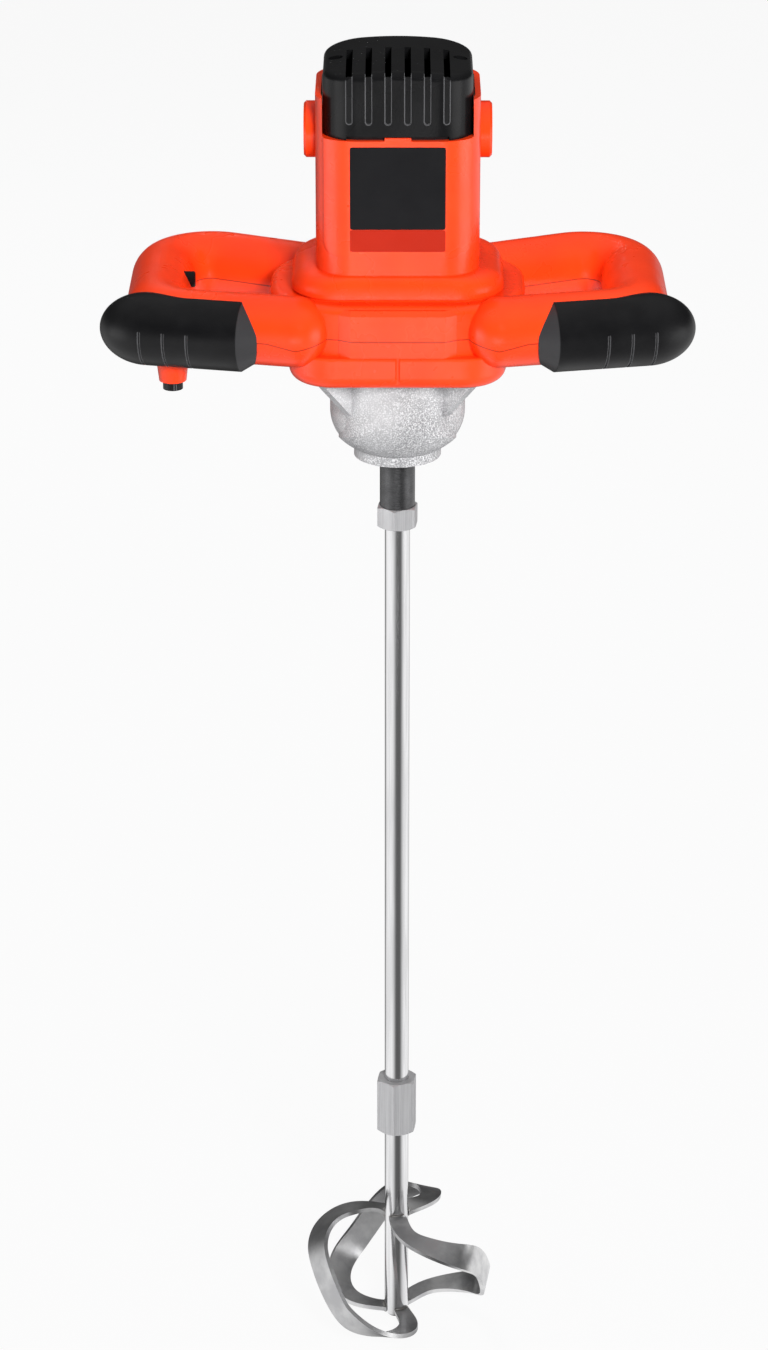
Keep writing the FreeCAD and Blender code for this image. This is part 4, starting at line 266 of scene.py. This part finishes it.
def off_row(graph, place, first, pitch):
    """Distance from the nearest of a row of lines, one at first and then one at each pitch."""
    count = graph.calc("DIVIDE", graph.calc("SUBTRACT", place, first), pitch)
    return graph.product(graph.apart(count, graph.calc("ROUND", count)), pitch)


def parting_line(graph, point):
    """Mask of the handle halves' parting, which dips in a V beside the hub."""
    x, _, z = graph.split(point)
    from_dip = graph.apart(graph.calc("ABSOLUTE", x), DIP_PLACE)
    dip = graph.product(graph.excess(DIP_HALF, from_dip), DIP_DEPTH / DIP_HALF)
    off = graph.apart(graph.calc("ADD", z, dip), PARTING_LEVEL)
    return graph.ramp(off, PARTING_FADE, FALLING)


def flute_highlights(graph, point):
    """Mask of painted highlights along the edges of the cap's flutes, down both sides and round
    the foot.
    """
    x, y, z = graph.split(point)
    aside = off_row(graph, x, FLUTE_FIRST, FLUTE_PITCH)
    reach = graph.length(aside, graph.excess(FLUTE_FOOT, z))
    line = graph.ramp(graph.apart(reach, FLUTE_HALF), FLUTE_FADE, FALLING)
    on_face = graph.ramp(graph.calc("ABSOLUTE", y), FLUTE_FACE)
    within = graph.ramp(graph.calc("ABSOLUTE", x), FLUTE_SIDE, FALLING)
    return graph.product(line, on_face, within)


def groove_and_bevel_highlights(graph, point):
    """Mask of painted sheen on the bevels of the bumpers and painted highlights along their
    grooves, which cross the swept arms.

    Along an arm the place is ARM_X + (|x| - ARM_X) cos(ARM_SWEEP) + (y - ARM_Y) sin(ARM_SWEEP).
    """
    x, y, z = graph.split(point)
    start = ARM_X - ARM_X * math.cos(ARM_SWEEP) - ARM_Y * math.sin(ARM_SWEEP)
    outwards = graph.along(graph.calc("ABSOLUTE", x), y, ARM_SWEEP, start)
    reach = off_row(graph, outwards, GROOVE_FIRST, GROOVE_PITCH)
    line = graph.ramp(graph.apart(reach, GROOVE_HALF), GROOVE_FADE, FALLING)
    aside = graph.apart(outwards, GROOVE_FIRST + GROOVE_PITCH)
    within = graph.ramp(aside, GROOVE_SIDE, FALLING)
    under = graph.ramp(z, GROOVE_HEAD, FALLING)
    bevel = graph.ramp(outwards, BEVEL_SPAN, (BEVEL_SHEEN, 0.0))
    return graph.calc("MAXIMUM", bevel, graph.product(line, within, under))


# Materials

# Features per metre of the slow colour change of each kind of metal
MOTTLE_SCALES = {"cast": 14.0, "rolled": 48.0, "turned": 90.0}
# Features per metre of the grain or of the lines of each kind of metal
GRAIN_SCALES = {"cast": 1150.0, "rolled": 700.0, "drawn": 900.0, "milled": 1500.0}
# What each kind of metal's roughness changes by, from its smoothest to its roughest places
ROUGHNESS_CHANGES = {"rolled": (0.0, 0.14), "drawn": (0.0, 0.07), "milled": (0.0, 0.08),
                     "turned": (-0.05, 0.08)}
# Strength of each kind of metal's bump, and its depth in metres
BUMPS = {"cast": (0.5, 0.0004), "rolled": (0.14, 0.0002), "drawn": (0.08, 0.0001),
         "milled": (0.1, 0.0001), "turned": (0.15, 0.0001)}
PLASTIC_BUMP_DEPTH = 0.0002
# Share of a line's own colour where it is drawn on plastic or rubber, as a dark seam on the handle
# and as a painted highlight on the cap and the bumpers
LINE_COVER = 0.75
# Heights of a casting's grain between which it begins to sparkle
SPARKLE_SPAN = (0.42, 0.68)
# Share of the dark colour between a casting's sparkles, and its roughness there and on them
CAST_SHADE, CAST_ROUGHNESS = 0.45, (0.55, 0.36)
# Share of the dark colour where rolled steel is worn
SCALE_SHADE = 0.4
# Heights of milled lines and of turned rings between which the look changes
RIDGE_SPAN = (0.3, 0.7)
# How metallic castings and plated bars are
CAST_METALLIC, MILLED_METALLIC = 0.35, 0.6


def tone(red, green, blue):
    """A linear colour with full cover."""
    return (red, green, blue, 1.0)


def start_material(name):
    """A new material, its graph and the point on the piece."""
    material = bpy.data.materials.new(name)
    material.use_nodes = True
    graph = Graph(material.node_tree)
    return material, graph, graph.place()


def dress(material, graph, height, bump, values):
    """Feed a material's shader by the names of its sockets, with a bump that follows a height."""
    shader = material.node_tree.nodes["Principled BSDF"].inputs
    for name, value in values.items():
        graph.feed(shader[name], value)
    strength, depth = bump
    normal = graph.add("ShaderNodeBump", Height=height, Strength=strength, Distance=depth)
    graph.feed(shader["Normal"], normal.outputs[0])
    return material


def rough_span(roughness, kind):
    """The lowest and highest roughness of a kind of metal."""
    return tuple(roughness + change for change in ROUGHNESS_CHANGES[kind])


def plastic(name, light, dark, roughness, grain_scale, bump, gloss=0.35, wear=0.06,
            mottle_scale=22.0, line=None, seam_or_highlight_colour=None, groove=0.0):
    """Moulded plastic or rubber: two close colours, mould grain and shine that changes slowly.

    Where a line is given, its mask draws another colour, sunk by the groove: on the handle a dark
    seam, on the cap and the bumpers a painted highlight.
    """
    material, graph, point = start_material(name)
    colour = graph.use(MOTTLE, Point=point, First=light, Second=dark, Scale=mottle_scale)["Color"]
    grain = graph.use(GRAIN, Point=point, Scale=grain_scale)
    height = grain["Height"]
    if line:
        mask = line(graph, point)
        colour = graph.blend(graph.product(mask, LINE_COVER), colour, seam_or_highlight_colour)
        height = graph.calc("SUBTRACT", height, graph.product(mask, groove))
    return dress(material, graph, height, (bump, PLASTIC_BUMP_DEPTH), {
        "Base Color": colour,
        "Roughness": graph.ramp(grain["Wear"], RISING, (roughness - wear, roughness + wear)),
        "Specular IOR Level": gloss,
    })


def cast_metal(name, light, dark):
    """Sand-blasted casting: sparkling grains of a millimetre over a soft change of colour."""
    material, graph, point = start_material(name)
    colour = graph.use(MOTTLE, Point=point, First=light, Second=dark,
                       Scale=MOTTLE_SCALES["cast"])["Color"]
    height = graph.use(GRAIN, Point=point, Scale=GRAIN_SCALES["cast"])["Height"]
    sparkle = graph.ramp(height, SPARKLE_SPAN)
    return dress(material, graph, height, BUMPS["cast"], {
        "Base Color": graph.blend(sparkle, graph.blend(CAST_SHADE, colour, dark), light),
        "Metallic": CAST_METALLIC,
        "Roughness": graph.ramp(sparkle, RISING, CAST_ROUGHNESS),
    })


def drawn_metal(name, light, dark, roughness):
    """Drawn and polished bar with fine lines along it."""
    material, graph, point = start_material(name)
    streaks = graph.use(STREAKS, Point=point, Scale=GRAIN_SCALES["drawn"])
    return dress(material, graph, streaks["Height"], BUMPS["drawn"], {
        "Base Color": graph.blend(streaks["Shade"], light, dark),
        "Metallic": 1.0,
        "Roughness": graph.ramp(streaks["Shade"], RISING, rough_span(roughness, "drawn")),
    })


def rolled_metal(name, light, dark, roughness):
    """Rolled steel strip, bent hot: cloudy scale marks and a fine pitted surface."""
    material, graph, point = start_material(name)
    colour = graph.use(MOTTLE, Point=point, First=light, Second=dark,
                       Scale=MOTTLE_SCALES["rolled"])["Color"]
    grain = graph.use(GRAIN, Point=point, Scale=GRAIN_SCALES["rolled"])
    return dress(material, graph, grain["Height"], BUMPS["rolled"], {
        "Base Color": graph.blend(graph.product(grain["Wear"], SCALE_SHADE), colour, dark),
        "Metallic": 1.0,
        "Roughness": graph.ramp(grain["Wear"], RISING, rough_span(roughness, "rolled")),
    })


def milled_metal(name, light, dark, roughness):
    """Plated hexagon bar: pale and dull, with the milling cutter's fine upright lines."""
    material, graph, point = start_material(name)
    streaks = graph.use(STREAKS, Point=point, Scale=GRAIN_SCALES["milled"])
    return dress(material, graph, streaks["Height"], BUMPS["milled"], {
        "Base Color": graph.blend(graph.ramp(streaks["Height"], RIDGE_SPAN), light, dark),
        "Metallic": MILLED_METALLIC,
        "Roughness": graph.ramp(streaks["Shade"], RISING, rough_span(roughness, "milled")),
    })


def turned_metal(name, light, dark, roughness, metallic=1.0):
    """Turned metal with fine tool rings."""
    material, graph, point = start_material(name)
    rings = graph.use(RINGS, Point=point)["Height"]
    colour = graph.use(MOTTLE, Point=point, First=light, Second=dark,
                       Scale=MOTTLE_SCALES["turned"])["Color"]
    return dress(material, graph, rings, BUMPS["turned"], {
        "Base Color": colour,
        "Metallic": metallic,
        "Roughness": graph.ramp(rings, RIDGE_SPAN, rough_span(roughness, "turned")),
    })


ORANGE = dict(light=tone(0.95, 0.052, 0.006), dark=tone(0.9, 0.045, 0.005), roughness=0.3,
              grain_scale=1500.0, bump=0.06, gloss=0.45, wear=0.03)
BLACK = dict(light=tone(0.004, 0.004, 0.0043), dark=tone(0.0065, 0.0065, 0.007), roughness=0.28,
             grain_scale=1300.0, bump=0.1, gloss=0.15, wear=0.03)
# Printed plastic film: an even colour with a satin shine
FILM = dict(grain_scale=2400.0, bump=0.02, gloss=0.1, wear=0.02)

RECIPES = {
    "orange_plastic": (plastic, ORANGE),
    "orange_shell": (plastic, dict(
        ORANGE, line=parting_line, seam_or_highlight_colour=tone(0.12, 0.008, 0.002), groove=3.0)),
    "black_plastic": (plastic, BLACK),
    # The cap's flutes carry a painted highlight along their edges
    "cap_plastic": (plastic, dict(
        BLACK, line=flute_highlights, seam_or_highlight_colour=tone(0.12, 0.12, 0.125))),
    "grey_plastic": (plastic, dict(
        light=tone(0.07, 0.07, 0.075), dark=tone(0.1, 0.1, 0.105), roughness=0.5,
        grain_scale=1300.0, bump=0.2)),
    "carbon": (plastic, dict(
        light=tone(0.02, 0.02, 0.022), dark=tone(0.035, 0.035, 0.037), roughness=0.6,
        grain_scale=1800.0, bump=0.3)),
    # The bumpers carry painted sheen on their bevels and painted highlights along their grooves
    "black_rubber": (plastic, dict(
        light=tone(0.0035, 0.0035, 0.004), dark=tone(0.006, 0.006, 0.0065), roughness=0.41,
        grain_scale=1100.0, bump=0.2, gloss=0.28, wear=0.05, mottle_scale=35.0,
        line=groove_and_bevel_highlights, seam_or_highlight_colour=tone(0.11, 0.11, 0.115))),
    "label_black": (plastic, dict(
        FILM, light=tone(0.006, 0.006, 0.007), dark=tone(0.007, 0.007, 0.008), roughness=0.3)),
    "label_red": (plastic, dict(
        FILM, light=tone(0.4, 0.018, 0.006), dark=tone(0.37, 0.016, 0.005), roughness=0.32)),
    # Near-black casting for the bearing bracket: painted shade, standing in for the shade it lies
    # in under the cap
    "dark_casting": (cast_metal, dict(
        light=tone(0.02, 0.02, 0.021), dark=tone(0.012, 0.012, 0.013))),
    "cast_aluminium": (cast_metal, dict(
        light=tone(0.78, 0.78, 0.79), dark=tone(0.3, 0.3, 0.31))),
    "polished_steel": (drawn_metal, dict(
        light=tone(0.86, 0.86, 0.87), dark=tone(0.74, 0.74, 0.75), roughness=0.13)),
    "laminations": (drawn_metal, dict(
        light=tone(0.32, 0.32, 0.34), dark=tone(0.22, 0.22, 0.24), roughness=0.4)),
    "rolled_strip": (rolled_metal, dict(
        light=tone(0.74, 0.74, 0.74), dark=tone(0.5, 0.5, 0.51), roughness=0.3)),
    "weld": (rolled_metal, dict(
        light=tone(0.5, 0.49, 0.48), dark=tone(0.3, 0.29, 0.28), roughness=0.36)),
    "satin_steel": (milled_metal, dict(
        light=tone(0.56, 0.56, 0.57), dark=tone(0.44, 0.44, 0.45), roughness=0.42)),
    "bright_steel": (turned_metal, dict(
        light=tone(0.62, 0.62, 0.64), dark=tone(0.52, 0.52, 0.54), roughness=0.26)),
    "zinc_screw": (turned_metal, dict(
        light=tone(0.56, 0.57, 0.58), dark=tone(0.46, 0.47, 0.48), roughness=0.32)),
    "black_steel": (turned_metal, dict(
        light=tone(0.07, 0.07, 0.072), dark=tone(0.1, 0.1, 0.103), roughness=0.28,
        metallic=0.8)),
    "bronze": (turned_metal, dict(
        light=tone(0.5, 0.29, 0.1), dark=tone(0.4, 0.22, 0.08), roughness=0.36)),
    "brass": (turned_metal, dict(
        light=tone(0.7, 0.46, 0.15), dark=tone(0.6, 0.38, 0.12), roughness=0.28)),
    "copper": (turned_metal, dict(
        light=tone(0.6, 0.22, 0.09), dark=tone(0.48, 0.16, 0.06), roughness=0.34)),
}
FINISHES = {name: make(name, **values) for name, (make, values) in RECIPES.items()}

# Nodes with a finish other than the one named after their slot
OWN_FINISHES = {
    "handle_upper_shell": "orange_shell", "handle_lower_shell": "orange_shell",
    # The bearing bracket's near-black finish is painted shade under the cap; the cap's finish
    # carries painted highlights on its flutes
    "bearing_bracket": "dark_casting", "vent_cap": "cap_plastic",
    "mixing_band_1": "rolled_strip", "mixing_band_2": "rolled_strip",
    "mixing_band_3": "rolled_strip",
}
for name, piece in nodes.items():
    piece.data.materials.clear()
    piece.data.materials.append(FINISHES[OWN_FINISHES.get(name, slots[name])])


# New pieces

# Points nearer than this, in metres, become one
MERGE_DISTANCE = 1e-7
# Faces that meet at more than this angle keep a sharp edge between them
SHARP_ANGLE = math.radians(40)
# Points round a weld bead or a wire, with the first once more at the end
ROUND_POINTS = 13


def add_object(name, data):
    """A new object of the scene, at the origin."""
    holder = bpy.data.objects.new(name, data)
    bpy.context.scene.collection.objects.link(holder)
    return holder


def grid_faces(points):
    """The points of a grid in one row, and the quads between them as rows of four numbers."""
    rows, columns = points.shape[:2]
    index = np.arange(rows * columns).reshape(rows, columns)
    quads = np.stack([index[:-1, :-1], index[:-1, 1:], index[1:, 1:], index[1:, :-1]], axis=-1)
    return points.reshape(-1, 3), quads.reshape(-1, 4)


def add_piece(name, grids, body, finish):
    """One object from several grids, with doubled points merged, that rides on a body."""
    faces = [grid_faces(grid) for grid in grids]
    counts = np.cumsum([0, *[len(points) for points, _ in faces]])
    points = np.concatenate([points for points, _ in faces])
    quads = np.concatenate([quads + first for (_, quads), first in zip(faces, counts)])
    mesh = bpy.data.meshes.new(name)
    mesh.from_pydata(points.tolist(), [], quads.tolist())
    work = bmesh.new()
    work.from_mesh(mesh)
    bmesh.ops.remove_doubles(work, verts=work.verts, dist=MERGE_DISTANCE)
    bmesh.ops.recalc_face_normals(work, faces=work.faces)
    work.to_mesh(mesh)
    work.free()
    mesh.materials.append(FINISHES[finish])
    mesh.shade_smooth()
    mesh.set_sharp_from_angle(angle=SHARP_ANGLE)
    piece = add_object(name, mesh)
    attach(piece, body)
    return piece


# The motor's front face, in millimetres: flat between +-FLAT_X, then an arc of radius FACE_ARC
FACE_Y, FLAT_X, FACE_ARC = 47.2, 26.3, 25.2
# The label's films, in millimetres: half their width, their corners' radius, how far they
# stand out of the face and reach into it, and the levels of the plate and of the strip below
FILM_HALF, FILM_CORNER, FILM_LIFT = 29, 1.0, 0.25
PLATE_FOOT, PLATE_HEAD = 161, 212.5
STRIP_FOOT, STRIP_HEAD = 147, 160.8
# Points across a film, both ways
FILM_POINTS = 33


def face_depth(x):
    """Y of the front face at X: -FACE_Y on the flat, then further back by the arc's fall."""
    past = np.maximum(np.abs(x) - FLAT_X, 0)
    return -FACE_Y + FACE_ARC - np.sqrt(FACE_ARC ** 2 - past ** 2)


def sticker(name, foot, head, finish):
    """A thin closed film on the motor's front face, from a foot to a head level.

    Over the unit square (u, v) a point is x = half * u, z = middle + half * v, drawn in to a
    round at the corners. Its front is at y = face_depth(x) - FILM_LIFT and its back at
    face_depth(x) + FILM_LIFT, with a strip between their rims.
    """
    half = (head - foot) / 2
    across = np.linspace(-1, 1, FILM_POINTS)
    u, v = np.meshgrid(across, across)
    x, z = u * FILM_HALF, v * half
    inner_x, inner_z = FILM_HALF - FILM_CORNER, half - FILM_CORNER
    over_x, over_z = np.maximum(np.abs(x) - inner_x, 0), np.maximum(np.abs(z) - inner_z, 0)
    reach = np.hypot(over_x, over_z)
    pull = np.maximum(over_x, over_z) / np.where(reach > 0, reach, 1)
    x = np.sign(x) * (np.minimum(np.abs(x), inner_x) + over_x * pull)
    z = np.sign(z) * (np.minimum(np.abs(z), inner_z) + over_z * pull) + (head + foot) / 2
    sheets = [np.stack([x, face_depth(x) + rise, z], axis=-1) * MM
              for rise in (-FILM_LIFT, FILM_LIFT)]
    rims = [np.concatenate([sheet[0, :-1], sheet[:-1, -1], sheet[-1, :0:-1], sheet[::-1, 0]])
            for sheet in sheets]
    add_piece(name, [*sheets, np.stack(rims)], "housing", finish)


sticker("label_plate", PLATE_FOOT, PLATE_HEAD, "label_black")
sticker("label_strip", STRIP_FOOT, STRIP_HEAD, "label_red")


# The paddle's welds, in millimetres and degrees: the levels of the upper and lower faces of the
# bands' ends on the rod, with the ends' bearings
WELD_ENDS = {(-552.5, -555.5): (153.9, -86.1, 33.9), (-626.5, -629.5): (-63.9, 56.1, 176.1)}
ROD_RADIUS = 8
WELD_RADIUS = 1.4
WELD_HALF_SWEEP = 38
# How many ripples there are from the middle of a bead to its end, and their share of its radius
WELD_RIPPLES, RIPPLE_SHARE = 7, 0.12
# The higher this power is, the blunter the bead's ends are
WELD_END_POWER = 6
# Points along a bead
WELD_POINTS = 85


def weld_beads():
    """Twelve rippled beads in the corners between rod and bands.

    Along a bead s runs from -1 to 1 and round it p from 0 to a full turn. Its middle line is an
    arc of the rod's surface. Its radius is WELD_RADIUS * sqrt(1 - s ** WELD_END_POWER) *
    (1 + RIPPLE_SHARE * cos(2 pi WELD_RIPPLES s)), so its ends close.
    """
    places = np.array([(level, bearing) for levels, bearings in WELD_ENDS.items()
                       for level in levels for bearing in bearings])
    level, middle = places[:, 0, None, None], np.radians(places[:, 1])[:, None, None]
    s = np.linspace(-1, 1, WELD_POINTS)[None, :, None]
    p = np.linspace(0, 2 * np.pi, ROUND_POINTS)[None, None, :]
    ripple = 1 + RIPPLE_SHARE * np.cos(2 * np.pi * WELD_RIPPLES * s)
    thick = WELD_RADIUS * np.sqrt(np.maximum(1 - s ** WELD_END_POWER, 0)) * ripple
    bearing = middle + np.radians(WELD_HALF_SWEEP) * s
    reach = ROD_RADIUS + thick * np.cos(p)
    beads = np.stack(np.broadcast_arrays(
        reach * np.cos(bearing), reach * np.sin(bearing), level + thick * np.sin(p)), axis=-1)
    add_piece("weld_beads", beads * MM, "spindle", "weld")


weld_beads()


# The trigger's return spring, in millimetres: its middle in X and Y, its ends in Z, its coil
# and its wire
SPRING_PLACE = (-149, 14)
SPRING_FLOOR, SPRING_TOP = 81.55, 90.15
SPRING_RADIUS = 3.6
SPRING_WIRE_RADIUS = 0.4
SPRING_TURNS = 5
# Lengths of wire in one turn
TURN_STEPS = 24


def return_spring():
    """The trigger's return spring, which shortens towards the switch as the trigger is pressed.

    Along the wire t runs from 0 to 1 and round it p from 0 to a full turn. The wire's middle is
    at the bearing 2 pi SPRING_TURNS t and rises evenly from end to end. At both ends a last row
    at the middle closes the wire.
    """
    even = np.linspace(0, 1, TURN_STEPS * SPRING_TURNS + 1)
    t = np.concatenate([[0], even, [1]])[:, None]
    thick = SPRING_WIRE_RADIUS * np.concatenate([[0], np.ones_like(even), [0]])[:, None]
    p = np.linspace(0, 2 * np.pi, ROUND_POINTS)[None, :]
    bearing = 2 * np.pi * SPRING_TURNS * t
    reach = SPRING_RADIUS + thick * np.cos(p)
    low, high = SPRING_FLOOR + SPRING_WIRE_RADIUS, SPRING_TOP - SPRING_WIRE_RADIUS
    wire = np.stack([SPRING_PLACE[0] + reach * np.cos(bearing),
                     SPRING_PLACE[1] + reach * np.sin(bearing),
                     low + (high - low) * t + thick * np.sin(p)], axis=-1)
    slot = slots["trigger_spring"]
    spring = add_piece("return_spring", [wire * MM], "housing", slot)
    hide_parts("trigger_spring")
    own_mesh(spring)


return_spring()


# Studio, in metres

# The floor: half its side, its gap under the part, its colour and roughness
FLOOR_HALF, FLOOR_GAP = 30.0, 0.002
FLOOR_COLOUR, FLOOR_ROUGHNESS = tone(0.45, 0.45, 0.46), 0.9
# Share of plain white in what the camera sees of the floor; the rest is its lit colour
WHITE_SHARE = 0.93
# The pale pools on the floor: how far they are turned, and the sines of the bearing from the
# dark front between which their strength rises, with that strength
POOL_TURN = math.radians(12)
POOL_SPAN, POOL_STRENGTH = (0.25, 0.95), (0.12, 1.0)
# Nearer to the part's axis than this, the bearing no longer counts
POOL_CORE = 0.01
# Light from the sky for everything but the camera, and the heights between which it rises
SKY_SPAN, SKY_STRENGTH = (0.3, 0.95), (0.06, 0.45)
# Each lamp's name, place, aim, size, power in watts, and whether shiny surfaces mirror it
LAMPS = (
    ("key", (0.6, -2.5, 1.2), (0, 0, 0), (0.7, 0.7), 106, False),
    ("left", (-1.9, -0.7, -0.15), (0, 0, 0.1), (1.2, 0.9), 6, True),
    ("right", (1.9, -0.7, -0.15), (0, 0, 0.1), (1.2, 0.9), 7, True),
    ("low", (-0.1, -2.2, -0.5), (0, 0, 0.1), (1.4, 0.22), 4, True),
    ("back", (-0.6, 2.4, 1.4), (0, 0, 0), (0.9, 0.9), 52, False),
)
# The photograph's size and focal length in pixels, and its camera's place in metres, tilt down
# and turn in degrees
PHOTO_SIZE, FOCAL_PIXELS = (768, 1350), 4100
CAMERA_PLACE, CAMERA_PITCH, CAMERA_YAW = (0, -2.443, 0.889), 23.1, 0.2
# Width of the camera's sensor in millimetres
SENSOR_WIDTH = 36.0


def studio_floor():
    """A wide pale floor just under the paddle.

    The camera sees it white. Polished metal sees two pale pools to the left and the right of the
    part: their strength rises with |x cos t + y sin t| / sqrt(x^2 + y^2), the sine of the
    bearing from the dark front.
    """
    level = cad_low.z - FLOOR_GAP
    corners = [(x * FLOOR_HALF, y * FLOOR_HALF, level)
               for x, y in ((-1, -1), (1, -1), (1, 1), (-1, 1))]
    mesh = bpy.data.meshes.new("floor")
    mesh.from_pydata(corners, [], [(0, 1, 2, 3)])
    material, graph, point = start_material("pale_floor")
    plain, output = (graph.tree.nodes[name] for name in ("Principled BSDF", "Material Output"))
    graph.feed(plain.inputs["Base Color"], FLOOR_COLOUR)
    graph.feed(plain.inputs["Roughness"], FLOOR_ROUGHNESS)
    x, y, _ = graph.split(point)
    reach = graph.calc("MAXIMUM", graph.length(x, y), POOL_CORE)
    aside = graph.calc("ABSOLUTE", graph.along(x, y, POOL_TURN))
    pools = graph.ramp(graph.calc("DIVIDE", aside, reach), POOL_SPAN, POOL_STRENGTH)
    path = graph.add("ShaderNodeLightPath").outputs
    white = graph.calc("MAXIMUM", path["Is Camera Ray"], pools)
    glow = graph.add("ShaderNodeEmission", Strength=white)
    mirrored = graph.calc("MAXIMUM", path["Is Glossy Ray"], path["Is Transmission Ray"])
    share = graph.calc("MULTIPLY_ADD", path["Is Camera Ray"], WHITE_SHARE, mirrored)
    mix = graph.tree.nodes.new("ShaderNodeMixShader")
    for socket, value in zip(mix.inputs, (share, plain.outputs[0], glow.outputs[0])):
        graph.feed(socket, value)
    graph.feed(output.inputs["Surface"], mix.outputs[0])
    mesh.materials.append(material)
    floor = add_object("floor", mesh)


def soft_lamp(name, place, aim, size, power, mirrored):
    """An area lamp at a place, turned to a point."""
    lamp = bpy.data.lights.new(name, "AREA")
    lamp.shape = "RECTANGLE"
    lamp.size, lamp.size_y = size
    lamp.energy = power
    holder = add_object(name, lamp)
    holder.location = place
    holder.visible_glossy = mirrored
    holder.rotation_mode = "QUATERNION"
    holder.rotation_quaternion = (Vector(aim) - Vector(place)).to_track_quat("-Z", "Y")


def studio_light():
    """Surroundings that the camera sees white and that light the part dimly, and the lamps."""
    world = bpy.data.worlds.new("studio")
    world.use_nodes = True
    graph = Graph(world.node_tree)
    _, _, up = graph.split(graph.add("ShaderNodeTexCoord").outputs["Generated"])
    sky = graph.ramp(up, SKY_SPAN, SKY_STRENGTH)
    path = graph.add("ShaderNodeLightPath").outputs
    background = world.node_tree.nodes["Background"].inputs
    graph.feed(background["Color"], tone(1, 1, 1))
    graph.feed(background["Strength"], graph.calc("MAXIMUM", path["Is Camera Ray"], sky))
    bpy.context.scene.world = world
    for lamp in LAMPS:
        soft_lamp(*lamp)


def photo_camera():
    """The photograph's camera: its place, tilt and focal length."""
    camera = bpy.data.cameras.new("camera")
    camera.sensor_width = SENSOR_WIDTH
    camera.lens = FOCAL_PIXELS / max(PHOTO_SIZE) * SENSOR_WIDTH
    holder = add_object("camera", camera)
    holder.location = CAMERA_PLACE
    holder.rotation_euler = (math.radians(90 - CAMERA_PITCH), 0, math.radians(CAMERA_YAW))
    bpy.context.scene.camera = holder


studio_floor()
studio_light()
photo_camera()
bpy.context.scene.view_settings.view_transform = "Standard"
